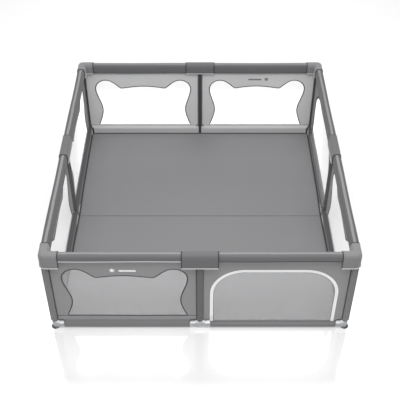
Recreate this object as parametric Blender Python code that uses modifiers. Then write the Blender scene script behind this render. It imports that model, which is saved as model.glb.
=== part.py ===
"""Fabric playpen on a plugged tube frame, with two zipped doors that fold down.

The pen is a rectangle of steel tubes.  Plastic hubs join the top rails and posts, plastic feet
join the posts and bottom rails, and suction cups stand under the corners.  A padded sleeve
wraps the top rails, covers wrap the sleeve at every hub, and fabric walls hang between the
sleeve and the bottom rails.  Everything is in metres, +Z up, with the origin on the ground
under the middle of the pen and the front side facing -Y.
"""

import math

import bmesh
import bpy
from mathutils import Matrix, Vector

# Driving dimensions of the whole pen.
WIDTH = 1.80
DEPTH = 2.00
HEIGHT = 0.63

GAP = 0.0003            # clearance between pieces that touch
ROUND_SIDES = 16        # sides of every tube, spigot and bore

# Steel tubes.
TUBE_RADIUS = 0.0125
TUBE_WALL = 0.0006
SPIGOT_RADIUS = TUBE_RADIUS - TUBE_WALL - 0.0004
SPIGOT_LENGTH = 0.040
BORE_RADIUS = TUBE_RADIUS + 0.0007

# Covers and padded sleeve, nested from the outside in.
COVER_WIDTH = 0.056
COVER_THICKNESS = 0.0037
COVER_SHOULDER = 0.020
COVER_DROP_OUTSIDE = 0.097
COVER_DROP_INSIDE = 0.075
CORNER_COVER_ARM = 0.110
TEE_COVER_LENGTH = 0.206
SLEEVE_HALF_WIDTH = COVER_WIDTH / 2 - COVER_THICKNESS - GAP
SLEEVE_TOP = HEIGHT - COVER_THICKNESS - GAP
SLEEVE_DROP_OUTSIDE = 0.042
SLEEVE_DROP_INSIDE = 0.068
SLEEVE_SHOULDER = COVER_SHOULDER - COVER_THICKNESS - GAP
SHOULDER_STEPS = 3

# Lines that the tubes follow.
AXIS_X = WIDTH / 2 - COVER_WIDTH / 2
AXIS_Y = DEPTH / 2 - COVER_WIDTH / 2
TOP_RAIL_Z = SLEEVE_TOP - SLEEVE_HALF_WIDTH
BOTTOM_RAIL_Z = 0.0245

# Hubs under the covers.
HUB_HALF = 0.0127
HUB_CHAMFER = 0.004
TEE_HUB_HALF_LENGTH = 0.020
HUB_NECK = 0.022

# Feet and suction cups.
FOOT_HALF_WIDTH = 0.017
FOOT_TOP = 0.050
CORNER_FOOT_ARM = 0.054
CORNER_FOOT_BOTTOM = 0.0078
SOCKET_RADIUS = TUBE_RADIUS + GAP
SOCKET_END = 0.016
FOOT_ARM_TOP = 0.040            # the arms stay low, and a block round the post reaches FOOT_TOP
FOOT_BLOCK_HALF = 0.027
TEE_FOOT_HALF_LENGTH = 0.059
CUP_RADIUS = 0.026
CUP_STEM_RADIUS = 0.0050
CUP_STEM_TOP = 0.0180
CUP_STEM_HOLE_RADIUS = 0.0054
CUP_STEM_HOLE_TOP = 0.0190

# Fabric walls and floor.
CLOTH = 0.003
CHANNEL_RADIUS = 0.018          # fabric channel round a post or a bottom rail
WALL_TOP = TOP_RAIL_Z - 0.017
CHANNEL_TOP = SLEEVE_TOP - SLEEVE_DROP_INSIDE - 0.002
CUTOUT_TOP = 0.060              # fabric is cut away round the feet below this height
CUTOUT_CLEARANCE = 0.002
FLOOR_THICKNESS = 0.003
FLOOR_INSET = 0.020

# Doors: an arch cut in the wall, filled by a flap that folds down on its bottom edge.
DOORWAY_BOTTOM = 0.0445
DOORWAY_TOP = 0.475
DOORWAY_RADIUS = 0.180
DOORWAY_MIDDLE_SHARE = 0.4935   # middle of the arch, as a share of the half side
DOORWAY_WIDTH_SHARE = 0.8095    # width of the arch, as a share of the half side
DOOR_CLEARANCE = 0.001
ARCH_STEPS = 8

# Zip sliders, standing off the wall beside the arch.
ZIP_BAND = 0.019
SLIDER_STAND_OFF = 0.001
SLIDER_SIZE = Vector((0.010, 0.004, 0.015))
SLIDER_Z = 0.0825
PIN_STAND_OFF = 0.003
PIN_RADIUS = 0.0008
PULL_EYE_RADIUS = 0.0024
PULL_HOLE_RADIUS = 0.0013
PULL_EYE_HALF_WIDTH = 0.0021
PULL_HALF_WIDTH = 0.0036
PULL_THICKNESS = 0.0016
PULL_LENGTH = 0.026
EAR_THICKNESS = 0.0012

SIDES = {
    # name: (half length, place of the side's middle, turn, names of its two halves)
    "front": (AXIS_X, (0, -AXIS_Y), 0, ("left", "right")),
    "right": (AXIS_Y, (AXIS_X, 0), 90, ("front", "rear")),
    "back": (AXIS_X, (0, AXIS_Y), 180, ("right", "left")),
    "left": (AXIS_Y, (-AXIS_X, 0), 270, ("rear", "front")),
}
CORNERS = {
    # name: (place, turn); unturned, a corner's two sides run along -X and +Y
    "front_right": ((AXIS_X, -AXIS_Y), 0),
    "back_right": ((AXIS_X, AXIS_Y), 90),
    "back_left": ((-AXIS_X, AXIS_Y), 180),
    "front_left": ((-AXIS_X, -AXIS_Y), 270),
}
DOOR_SIDES = ("front", "right")


# ---------------------------------------------------------------- scene and materials

def clear_scene():
    """Remove every object from the scene."""
    for thing in list(bpy.data.objects):
        bpy.data.objects.remove(thing, do_unlink=True)


def new_collection(name):
    """Make a collection under the scene."""
    collection = bpy.data.collections.new(name)
    bpy.context.scene.collection.children.link(collection)
    return collection


def new_material(name, colour, roughness, metallic=0.0):
    """Make a Principled material."""
    material = bpy.data.materials.new(name)
    material.use_nodes = True
    shader = material.node_tree.nodes["Principled BSDF"]
    shader.inputs["Base Color"].default_value = (*colour, 1.0)
    shader.inputs["Roughness"].default_value = roughness
    shader.inputs["Metallic"].default_value = metallic
    material.diffuse_color = (*colour, 1.0)
    return material


# ---------------------------------------------------------------- basic solids

def tool_object(name, mesh):
    """Link a mesh to the cutters' collection, out of the render."""
    tool = bpy.data.objects.new(name, mesh)
    CUTTERS.objects.link(tool)
    tool.hide_render = True
    tool.display_type = "WIRE"
    return tool


def finished(bm, name):
    """Turn a bmesh into a mesh with its faces pointing out."""
    bmesh.ops.recalc_face_normals(bm, faces=bm.faces[:])
    mesh = bpy.data.meshes.new(name)
    bm.to_mesh(mesh)
    bm.free()
    return mesh


def box(low, high, chamfer=0.0):
    """Make a box between two corners, with chamfered edges where asked."""
    low, high = Vector(low), Vector(high)
    bm = bmesh.new()
    bmesh.ops.create_cube(bm, size=1.0)
    bmesh.ops.scale(bm, vec=high - low, verts=bm.verts[:])
    bmesh.ops.translate(bm, vec=(low + high) / 2, verts=bm.verts[:])
    if chamfer:
        bmesh.ops.bevel(bm, geom=bm.edges[:], offset=chamfer, segments=1, affect="EDGES")
    return finished(bm, "box")


def rod(start, end, radius):
    """Make a solid round bar between two points."""
    start, end = Vector(start), Vector(end)
    turn = Vector((0, 0, 1)).rotation_difference(end - start).to_matrix().to_4x4()
    place = Matrix.Translation((start + end) / 2) @ turn
    bm = bmesh.new()
    bmesh.ops.create_cone(bm, cap_ends=True, segments=ROUND_SIDES, radius1=radius,
                          radius2=radius, depth=(end - start).length, matrix=place)
    return finished(bm, "rod")


def slab(outline, thickness, upright=False):
    """Fill a flat outline and thicken it evenly about its plane.

    The outline lies in XY, or in XZ when upright.
    """
    curve = bpy.data.curves.new("outline", "CURVE")
    curve.dimensions = "2D"
    curve.fill_mode = "BOTH"
    curve.extrude = thickness / 2
    spline = curve.splines.new("POLY")
    spline.points.add(len(outline) - 1)
    for point, (across, along) in zip(spline.points, outline):
        point.co = (across, along, 0, 1)
    spline.use_cyclic_u = True
    guide = bpy.data.objects.new("outline", curve)
    CUTTERS.objects.link(guide)
    bm = bmesh.new()
    bm.from_mesh(evaluated(guide))
    bmesh.ops.remove_doubles(bm, verts=bm.verts[:], dist=0.00001)
    if upright:
        bmesh.ops.rotate(bm, verts=bm.verts[:], matrix=Matrix.Rotation(math.radians(90), 3, "X"))
    return finished(bm, "slab")


def evaluated(thing):
    """Read an object's mesh with its modifiers applied, and remove the object."""
    bpy.context.view_layer.update()
    depsgraph = bpy.context.evaluated_depsgraph_get()
    mesh = bpy.data.meshes.new_from_object(thing.evaluated_get(depsgraph))
    bpy.data.objects.remove(thing, do_unlink=True)
    return mesh


def moved(mesh, offset):
    """Shift a mesh in place and return it."""
    mesh.transform(Matrix.Translation(offset))
    return mesh


def combined(body, joins=(), cuts=()):
    """Union some meshes to a body, cut others from it, and return the result as one mesh."""
    base = tool_object("base", body)
    tools = []
    for operation, meshes in (("UNION", joins), ("DIFFERENCE", cuts)):
        for mesh in meshes:
            tool = tool_object(operation.lower(), mesh)
            tools.append(tool)
            change = base.modifiers.new(operation.lower(), "BOOLEAN")
            change.operation = operation
            change.solver = "EXACT"
            change.object = tool
    result = evaluated(base)
    for tool in tools:
        bpy.data.objects.remove(tool, do_unlink=True)
    return result


def arc(centre, radius, start, end, steps):
    """List points on an arc, from one angle in degrees to another."""
    angles = [math.radians(start + (end - start) * step / steps) for step in range(steps + 1)]
    return [(centre[0] + radius * math.cos(a), centre[1] + radius * math.sin(a)) for a in angles]


# ---------------------------------------------------------------- swept hoods

def hood_profile(half_width, top, shoulder, thickness, bottom_outside, bottom_inside):
    """Give the closed section of an upside-down channel with round shoulders.

    half_width, top and shoulder are those of the outer surface.  Points are (outward, height).
    """
    def over_the_top(inset):
        radius = shoulder - inset
        side, roof = half_width - shoulder, top - shoulder
        return (arc((side, roof), radius, 0, 90, SHOULDER_STEPS)
                + arc((-side, roof), radius, 90, 180, SHOULDER_STEPS))

    inner = half_width - thickness
    return ([(half_width, bottom_outside)] + over_the_top(0)
            + [(-half_width, bottom_inside), (-inner, bottom_inside)]
            + over_the_top(thickness)[::-1] + [(inner, bottom_outside)])


def mitre(path, index, closed):
    """Give the outward step per unit of offset at a path point, square to both its stretches."""
    count = len(path)
    steps = []
    for first, second in ((index - 1, index), (index, index + 1)):
        if closed or 0 <= first and second < count:
            way = (Vector(path[second % count]) - Vector(path[first % count])).normalized()
            steps.append(Vector((way.y, -way.x)))
    total = sum(steps, Vector((0, 0)))
    return total if len(steps) == 2 and steps[0].dot(steps[1]) < 0.5 else steps[0]


def swept(profile, path, closed=False):
    """Sweep a closed section along a path on the ground plane, with mitred corners.

    The path runs anticlockwise round the pen, so its right hand is outward.
    """
    bm = bmesh.new()
    rings = []
    for index, (across, along) in enumerate(path):
        step = mitre(path, index, closed)
        rings.append([bm.verts.new((across + step.x * out, along + step.y * out, height))
                      for out, height in profile])
    stretches = list(zip(rings, rings[1:]))
    if closed:
        stretches.append((rings[-1], rings[0]))
    else:
        bm.faces.new(rings[0])
        bm.faces.new(rings[-1])
    for near, far in stretches:
        for spot in range(len(profile)):
            bm.faces.new((near[spot - 1], near[spot], far[spot], far[spot - 1]))
    return finished(bm, "swept")


# ---------------------------------------------------------------- frame pieces

def tube_mesh(length):
    """Make an open steel tube of a length along X, centred on the origin."""
    bm = bmesh.new()
    bmesh.ops.create_cone(bm, cap_ends=False, segments=ROUND_SIDES, radius1=TUBE_RADIUS,
                          radius2=TUBE_RADIUS, depth=length,
                          matrix=Matrix.Rotation(math.radians(90), 4, "Y"))
    tube = tool_object("tube", finished(bm, "tube"))
    wall = tube.modifiers.new("wall", "SOLIDIFY")
    wall.thickness = TUBE_WALL
    wall.offset = -1
    wall.use_even_offset = True
    return evaluated(tube)


def hub_mesh(half_length, arms):
    """Make a moulded hub: a chamfered block with a neck down and a spigot along each arm."""
    half = Vector((half_length, HUB_HALF, HUB_HALF))
    neck = rod((0, 0, 0), (0, 0, -HUB_NECK), TUBE_RADIUS)
    spigots = [rod((0, 0, 0), (0, 0, -HUB_NECK - SPIGOT_LENGTH), SPIGOT_RADIUS)]
    for arm in arms:
        reach = (half_length if arm[0] else HUB_HALF) + SPIGOT_LENGTH
        spigots.append(rod((0, 0, 0), Vector(arm) * reach, SPIGOT_RADIUS))
    return combined(box(-half, half, HUB_CHAMFER), joins=[neck, *spigots])


def angle_slab(arm, low, high):
    """Make an L-shaped plate with a round outer corner and two arms, between two heights."""
    wide = FOOT_HALF_WIDTH
    outline = (arc((0, 0), wide, 270, 360, 4)
               + [(wide, arm), (-wide, arm), (-wide, wide), (-arm, wide), (-arm, -wide)])
    return moved(slab(outline, high - low), (0, 0, (low + high) / 2))


def corner_foot_mesh():
    """Make the L-shaped corner foot, with two rail sockets, a post spigot and a cup hole."""
    body = angle_slab(CORNER_FOOT_ARM, CORNER_FOOT_BOTTOM, FOOT_ARM_TOP)
    block = angle_slab(FOOT_BLOCK_HALF, FOOT_ARM_TOP - 0.002, FOOT_TOP)
    spigot = rod((0, 0, FOOT_TOP - 0.002), (0, 0, FOOT_TOP + SPIGOT_LENGTH), SPIGOT_RADIUS)
    past = CORNER_FOOT_ARM + 0.001
    sockets = [
        rod((-SOCKET_END, 0, BOTTOM_RAIL_Z), (-past, 0, BOTTOM_RAIL_Z), SOCKET_RADIUS),
        rod((0, SOCKET_END, BOTTOM_RAIL_Z), (0, past, BOTTOM_RAIL_Z), SOCKET_RADIUS),
    ]
    stem_hole = rod((0, 0, 0), (0, 0, CUP_STEM_HOLE_TOP), CUP_STEM_HOLE_RADIUS)
    return combined(body, joins=[block, spigot], cuts=[*sockets, stem_hole])


def tee_foot_mesh():
    """Make the foot under a middle post, with the bottom rail running through it."""
    arm, block = TEE_FOOT_HALF_LENGTH, FOOT_BLOCK_HALF
    low, high = FOOT_ARM_TOP, FOOT_TOP
    outline = [(-arm, 0), (arm, 0), (arm, low), (block, low), (block, high),
               (-block, high), (-block, low), (-arm, low)]
    body = slab(outline, 2 * FOOT_HALF_WIDTH, upright=True)
    spigot = rod((0, 0, FOOT_TOP - 0.002), (0, 0, FOOT_TOP + SPIGOT_LENGTH), SPIGOT_RADIUS)
    past = arm + 0.001
    bore = rod((-past, 0, BOTTOM_RAIL_Z), (past, 0, BOTTOM_RAIL_Z), SOCKET_RADIUS)
    return combined(body, joins=[spigot], cuts=[bore])


def suction_cup_mesh():
    """Turn the suction cup: a stem, a sloping skirt, a flat rim and a shallow hollow."""
    rim = CUP_RADIUS
    profile = [(0, CUP_STEM_TOP), (CUP_STEM_RADIUS, CUP_STEM_TOP), (CUP_STEM_RADIUS, 0.0070),
               (0.012, 0.0068), (0.021, 0.0045), (rim, 0.0018), (rim, 0), (rim - 0.007, 0),
               (0.008, 0.0026), (0, 0.0030)]
    bm = bmesh.new()
    points = [bm.verts.new((radius, 0, height)) for radius, height in profile]
    for upper, lower in zip(points, points[1:]):
        bm.edges.new((upper, lower))
    mesh = bpy.data.meshes.new("cup")
    bm.to_mesh(mesh)
    bm.free()
    cup = tool_object("cup", mesh)
    turn = cup.modifiers.new("turn", "SCREW")
    turn.steps = ROUND_SIDES + 4
    turn.render_steps = ROUND_SIDES + 4
    turn.use_merge_vertices = True
    turn.merge_threshold = 0.00001
    return evaluated(cup)


# ---------------------------------------------------------------- fabric pieces

def sleeve_mesh():
    """Sweep the padded sleeve all the way round the top rails, lower inside than outside."""
    profile = hood_profile(SLEEVE_HALF_WIDTH, SLEEVE_TOP, SLEEVE_SHOULDER,
                           SLEEVE_HALF_WIDTH - BORE_RADIUS, SLEEVE_TOP - SLEEVE_DROP_OUTSIDE,
                           SLEEVE_TOP - SLEEVE_DROP_INSIDE)
    path = [(-AXIS_X, -AXIS_Y), (AXIS_X, -AXIS_Y), (AXIS_X, AXIS_Y), (-AXIS_X, AXIS_Y)]
    return swept(profile, path, closed=True)


def cover_mesh(path):
    """Sweep a cover that wraps the sleeve, lower outside the pen than inside."""
    profile = hood_profile(COVER_WIDTH / 2, HEIGHT, COVER_SHOULDER, COVER_THICKNESS,
                           HEIGHT - COVER_DROP_OUTSIDE, HEIGHT - COVER_DROP_INSIDE)
    return swept(profile, path)


def doorway(half_side, inset=0.0):
    """Outline a door's arch on a side: square at the bottom, rounded at the top."""
    middle = half_side * DOORWAY_MIDDLE_SHARE
    reach = half_side * DOORWAY_WIDTH_SHARE / 2 - inset
    bottom, top = DOORWAY_BOTTOM + inset, DOORWAY_TOP - inset
    radius = DOORWAY_RADIUS - inset
    left, right = middle - reach, middle + reach
    return ([(left, bottom), (right, bottom)]
            + arc((right - radius, top - radius), radius, 0, 90, ARCH_STEPS)
            + arc((left + radius, top - radius), radius, 90, 180, ARCH_STEPS))


def wall_mesh(half_side, has_door):
    """Make one fabric wall with its hem, middle post channel and one corner post channel."""
    low, high = BOTTOM_RAIL_Z, WALL_TOP
    cloth = box((-half_side + CHANNEL_RADIUS + GAP, -CLOTH / 2, low), (half_side, CLOTH / 2, high))
    hem_end = half_side - CORNER_FOOT_ARM - CUTOUT_CLEARANCE
    hem = rod((-hem_end, 0, low), (hem_end, 0, low), CHANNEL_RADIUS)
    posts = [rod((along, 0, low), (along, 0, CHANNEL_TOP), CHANNEL_RADIUS) for along in (0, half_side)]
    past = 0.01
    bores = [rod((-half_side, 0, low), (half_side, 0, low), BORE_RADIUS)]
    for along in (0, half_side):
        bores.append(rod((along, 0, -past), (along, 0, high + past), BORE_RADIUS))
    foot_half = TEE_FOOT_HALF_LENGTH + CUTOUT_CLEARANCE
    spread = 2 * CHANNEL_RADIUS
    cutouts = [box((start, -spread, -past), (end, spread, CUTOUT_TOP)) for start, end in (
        (-half_side - spread, -hem_end), (-foot_half, foot_half), (hem_end, half_side + spread))]
    if has_door:
        cutouts.append(slab(doorway(half_side), 4 * CLOTH, upright=True))
    return combined(cloth, joins=[hem, *posts], cuts=[*bores, *cutouts])


def floor_mesh():
    """Make the fabric floor, a flat panel inside the feet."""
    far = Vector((AXIS_X - FLOOR_INSET, AXIS_Y - FLOOR_INSET, FLOOR_THICKNESS))
    return box((-far.x, -far.y, 0), far)


# ---------------------------------------------------------------- zip pieces

def slider_mesh():
    """Make a zip slider about its pull's pin: a block with two ears and the pin."""
    face = PIN_STAND_OFF
    half = SLIDER_SIZE / 2
    block = box((-half.x, face, -half.z), (half.x, face + SLIDER_SIZE.y, half.z), chamfer=0.0010)
    ears = []
    for side in (-1, 1):
        near = side * (PULL_EYE_HALF_WIDTH + GAP)
        far = side * (PULL_EYE_HALF_WIDTH + GAP + EAR_THICKNESS)
        ears.append(box((min(near, far), -0.0016, -0.0025), (max(near, far), face + 0.001, 0.0025)))
    reach = PULL_EYE_HALF_WIDTH + GAP + EAR_THICKNESS / 2
    pin = rod((-reach, 0, 0), (reach, 0, 0), PIN_RADIUS)
    return combined(block, joins=[*ears, pin])


def pull_mesh():
    """Make a pull tab that hangs from the slider's pin by an eye."""
    eye_half, wide, length = PULL_EYE_HALF_WIDTH, PULL_HALF_WIDTH, PULL_LENGTH
    outline = ([(-eye_half, 0), (-eye_half, -0.004), (-wide, -0.008)]
               + arc((0, wide - length), wide, 180, 360, 6)
               + [(wide, -0.008), (eye_half, -0.004), (eye_half, 0)])
    tab = slab(outline, PULL_THICKNESS, upright=True)
    eye = rod((-eye_half, 0, 0), (eye_half, 0, 0), PULL_EYE_RADIUS)
    hole = rod((-wide, 0, 0), (wide, 0, 0), PULL_HOLE_RADIUS)
    return combined(eye, joins=[tab], cuts=[hole])


# ---------------------------------------------------------------- assembly

def empty(name, place, turn):
    """Add an empty on the ground, turned about Z, for a side or a corner."""
    frame = bpy.data.objects.new(name, None)
    PLAYPEN.objects.link(frame)
    frame.location = (*place, 0)
    frame.rotation_euler = (0, 0, math.radians(turn))
    return frame


def add(name, mesh, material, parent=None, place=(0, 0, 0), turn=(0, 0, 0), smooth=False):
    """Place one piece of the pen, turned in degrees about its own origin."""
    piece = bpy.data.objects.new(name, mesh)
    PLAYPEN.objects.link(piece)
    piece.parent = parent
    piece.location = place
    piece.rotation_euler = [math.radians(angle) for angle in turn]
    if not mesh.materials:
        mesh.materials.append(material)
    if smooth:
        mesh.shade_smooth()
        mesh.set_sharp_from_angle(angle=math.radians(35))
    return piece


def build_corners():
    """Add what stands at the four corners: hub, post, foot, suction cup and cover."""
    hub = hub_mesh(HUB_HALF, [(-1, 0, 0), (0, 1, 0)])
    foot, cup = corner_foot_mesh(), suction_cup_mesh()
    arm = CORNER_COVER_ARM - COVER_WIDTH / 2
    cover = cover_mesh([(-arm, 0), (0, 0), (0, arm)])
    for name, (place, turn) in CORNERS.items():
        frame = empty(f"corner_{name}", place, turn)
        add(f"top_corner_hub_{name}", hub, HUB_PLASTIC, frame, (0, 0, TOP_RAIL_Z), smooth=True)
        add(f"corner_post_{name}", POST, STEEL, frame, (0, 0, POST_MIDDLE), (0, 90, 0), smooth=True)
        add(f"corner_foot_{name}", foot, FOOT_PLASTIC, frame, smooth=True)
        add(f"suction_cup_{name}", cup, CUP_RUBBER, frame, smooth=True)
        add(f"corner_cover_{name}", cover, COVER_CLOTH, frame, smooth=True)


def build_sides():
    """Add what stands along the four sides: rails, middle post, hub, foot, cover and wall."""
    hub = hub_mesh(TEE_HUB_HALF_LENGTH, [(-1, 0, 0), (1, 0, 0)])
    foot = tee_foot_mesh()
    cover = cover_mesh([(-TEE_COVER_LENGTH / 2, 0), (TEE_COVER_LENGTH / 2, 0)])
    for name, (half_side, place, turn, halves) in SIDES.items():
        frame = empty(f"side_{name}", place, turn)
        start, end = TEE_HUB_HALF_LENGTH + GAP, half_side - HUB_HALF - GAP
        rail = tube_mesh(end - start)
        for half, sign in zip(halves, (-1, 1)):
            middle = (sign * (start + end) / 2, 0, TOP_RAIL_Z)
            add(f"top_rail_{name}_{half}", rail, STEEL, frame, middle, smooth=True)
        bottom = tube_mesh(2 * (half_side - SOCKET_END - GAP))
        add(f"bottom_rail_{name}", bottom, STEEL, frame, (0, 0, BOTTOM_RAIL_Z), smooth=True)
        add(f"top_tee_hub_{name}", hub, HUB_PLASTIC, frame, (0, 0, TOP_RAIL_Z), smooth=True)
        add(f"middle_post_{name}", POST, STEEL, frame, (0, 0, POST_MIDDLE), (0, 90, 0), smooth=True)
        add(f"tee_foot_{name}", foot, FOOT_PLASTIC, frame, smooth=True)
        add(f"tee_cover_{name}", cover, COVER_CLOTH, frame, smooth=True)
        has_door = name in DOOR_SIDES
        add(f"wall_{name}", wall_mesh(half_side, has_door), WALL_CLOTH, frame, smooth=True)
        if has_door:
            build_door(name, half_side, frame)


def build_door(name, half_side, frame):
    """Add a door flap, and the zip slider and its pull tab beside the arch."""
    outline = doorway(half_side, DOOR_CLEARANCE)
    left, bottom = outline[0]
    hinge = Vector((0, -CLOTH / 2, bottom))
    flap = moved(slab(outline, CLOTH, upright=True), -hinge)
    add(f"door_{name}", flap, MESH_CLOTH, frame, hinge)
    depth = CLOTH / 2 + SLIDER_STAND_OFF + SLIDER_SIZE.y + PIN_STAND_OFF
    pin = (left - DOOR_CLEARANCE - ZIP_BAND / 2, -depth, SLIDER_Z)
    add(f"zip_slider_{name}", SLIDER, ZIP_METAL, frame, pin, smooth=True)
    add(f"zip_pull_{name}", PULL, ZIP_METAL, frame, pin, smooth=True)


clear_scene()
PLAYPEN = new_collection("playpen")
CUTTERS = new_collection("cutters")

STEEL = new_material("painted steel tube", (0.55, 0.56, 0.57), 0.40, 0.6)
HUB_PLASTIC = new_material("grey hub plastic", (0.30, 0.30, 0.31), 0.55)
FOOT_PLASTIC = new_material("smoky foot plastic", (0.52, 0.54, 0.56), 0.30)
CUP_RUBBER = new_material("suction cup rubber", (0.13, 0.13, 0.14), 0.45)
COVER_CLOTH = new_material("cover cloth", (0.24, 0.24, 0.25), 0.85)
SLEEVE_CLOTH = new_material("sleeve cloth", (0.19, 0.19, 0.20), 0.85)
WALL_CLOTH = new_material("wall cloth", (0.25, 0.25, 0.26), 0.90)
FLOOR_CLOTH = new_material("floor cloth", (0.27, 0.27, 0.28), 0.90)
MESH_CLOTH = new_material("door mesh cloth", (0.62, 0.62, 0.63), 0.90)
ZIP_METAL = new_material("enamelled zip metal", (0.75, 0.75, 0.76), 0.35, 0.3)

POST_TOP = TOP_RAIL_Z - HUB_NECK - GAP
POST_BOTTOM = FOOT_TOP + GAP
POST_MIDDLE = (POST_TOP + POST_BOTTOM) / 2
POST = tube_mesh(POST_TOP - POST_BOTTOM)
SLIDER = slider_mesh()
PULL = pull_mesh()

build_corners()
build_sides()
add("top_sleeve", sleeve_mesh(), SLEEVE_CLOTH, smooth=True)
add("floor_panel", floor_mesh(), FLOOR_CLOTH)
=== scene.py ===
"""Looks of the fabric playpen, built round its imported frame.

Everything is in metres in the frame's own axes: +Z up, the front side facing -Y.  The walls are
worked out on a side's own axes, with X along the side, -Y outward and Z up, and then turned into
place, so that the four sides share one set of patterns.
"""

import logging
import math
from dataclasses import dataclass
from enum import Enum
from typing import Callable, Iterable, Sequence

import bmesh
import bpy
import numpy as np
from mathutils import Matrix, Vector
from mathutils.geometry import interpolate_bezier


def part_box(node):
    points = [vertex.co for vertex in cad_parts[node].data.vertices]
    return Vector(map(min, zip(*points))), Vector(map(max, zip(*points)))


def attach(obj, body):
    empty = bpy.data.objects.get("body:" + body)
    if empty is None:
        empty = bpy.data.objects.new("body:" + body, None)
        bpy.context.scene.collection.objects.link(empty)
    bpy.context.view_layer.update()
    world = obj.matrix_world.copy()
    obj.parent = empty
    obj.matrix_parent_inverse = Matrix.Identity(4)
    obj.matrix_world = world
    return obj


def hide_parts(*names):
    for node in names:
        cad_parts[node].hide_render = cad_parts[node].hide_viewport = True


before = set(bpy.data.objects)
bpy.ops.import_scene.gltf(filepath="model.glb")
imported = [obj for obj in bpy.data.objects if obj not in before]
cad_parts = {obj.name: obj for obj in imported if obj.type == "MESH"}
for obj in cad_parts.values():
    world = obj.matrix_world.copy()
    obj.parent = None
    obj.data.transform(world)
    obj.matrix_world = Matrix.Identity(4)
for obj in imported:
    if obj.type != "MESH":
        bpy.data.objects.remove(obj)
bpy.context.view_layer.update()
LOG = logging.getLogger("playpen")

CLOTH_UV = "cloth"
NET_THICKNESS, NET_CELL, NET_MARGIN = 0.001, 0.016, 0.01
DOORWAY_HOLE_LOW = 0.03
FLARE_ROWS = (0.558, 0.563, 0.568, 0.573, 0.578, 0.583)
# How many of a cover section's points are on its outer face.
HOOD_POINTS = 11
# Distance outward and height of the hem's points, round the bottom rail.
HEM_ROLL = (
    (0.0178, 0.0300), (0.0184, 0.0180), (0.0176, 0.0105), (0.0135, 0.0070), (0.0, 0.0062),
    (-0.0120, 0.0080), (-0.0168, 0.0140), (-0.0176, 0.0245), (-0.0150, 0.0350),
    (-0.0080, 0.0405))
Point = tuple[float, float]
Colour = tuple[float, float, float]
Shape, Face = bmesh.types.BMesh, bmesh.types.BMFace
Material, Mesh, Thing = bpy.types.Material, bpy.types.Mesh, bpy.types.Object
Place = Callable[[float, float, float], Vector]


# ---------------------------------------------------------------- sizes read from the frame

def middle_of(node: str) -> Vector:
    """Give the middle of a CAD node's box."""
    low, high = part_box(node)
    return (low + high) / 2


def standing(place: Point, turn: float) -> Matrix:
    """Give the matrix of axes that stand at a place, turned by an angle in degrees."""
    return Matrix.Translation((*place, 0)) @ Matrix.Rotation(math.radians(turn), 4, "Z")


AXIS_X, AXIS_Y = middle_of("corner_post_back_right").xy
RAIL_Z = middle_of("bottom_rail_front").z
SLEEVE_LOW, SLEEVE_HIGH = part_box("top_sleeve")
COVER_LOW, COVER_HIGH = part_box("tee_cover_front")
FLOOR_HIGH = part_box("floor_panel")[1]


@dataclass(frozen=True)
class Side:
    """One side of the pen: its half length, and how its own axes lie in the frame."""

    name: str
    half: float
    place: Point
    turn: float
    has_door: bool
    seam: float = 0.068
    window_drop: float = 0.0

    @property
    def matrix(self) -> Matrix:
        """Turn the side's own axes into the frame's."""
        return standing(self.place, self.turn)

    @property
    def stretch(self) -> float:
        """Give the side's length as a share of the front's."""
        return self.half / AXIS_X


SIDES = (
    Side("front", AXIS_X, (0, -AXIS_Y), 0, True, seam=0.0985),
    Side("right", AXIS_Y, (AXIS_X, 0), 90, True),
    Side("back", AXIS_X, (0, AXIS_Y), 180, False, window_drop=0.018),
    Side("left", AXIS_Y, (-AXIS_X, 0), 270, False),
)
CORNERS = {
    "front_right": ((AXIS_X, -AXIS_Y), 0),
    "back_right": ((AXIS_X, AXIS_Y), 90),
    "back_left": ((-AXIS_X, AXIS_Y), 180),
    "front_left": ((-AXIS_X, -AXIS_Y), 270),
}


# ---------------------------------------------------------------- shader maths

def expression(operation: str, swapped: bool = False) -> Callable:
    """Make an operator of Signal, which adds one Math node.

    Args:
        operation: the Math node's operation.
        swapped: whether the other value comes first.

    Returns:
        The method.
    """
    def operate(self: "Signal", other: "Signal | float" = 0.0) -> "Signal":
        """Add the Math node."""
        first, second = (other, self) if swapped else (self, other)
        return self.recipe.maths(operation, first, second)

    return operate


class Signal:
    """A shader socket that adds Math nodes when it is used in an expression."""

    def __init__(self, recipe: "Recipe", socket: bpy.types.NodeSocket) -> None:
        """Wrap an output socket of a recipe's material."""
        self.recipe, self.socket = recipe, socket

    __add__ = __radd__ = expression("ADD")
    __mul__ = __rmul__ = expression("MULTIPLY")
    __sub__ = expression("SUBTRACT")
    __rsub__ = expression("SUBTRACT", swapped=True)
    __truediv__ = expression("DIVIDE")
    __abs__ = expression("ABSOLUTE")

    def wave(self, pitch: float) -> "Signal":
        """Give the sine of a length, with one full wave in each pitch."""
        return self.recipe.maths("SINE", self * (2 * math.pi / pitch))

    def ridge(self, start: float, end: float) -> "Signal":
        """Rise from 0 to 1 as the signal goes from start to end, and stay there."""
        return self.recipe.maths("ADD", (self - start) / (end - start), 0.0, clamp=True)


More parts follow.
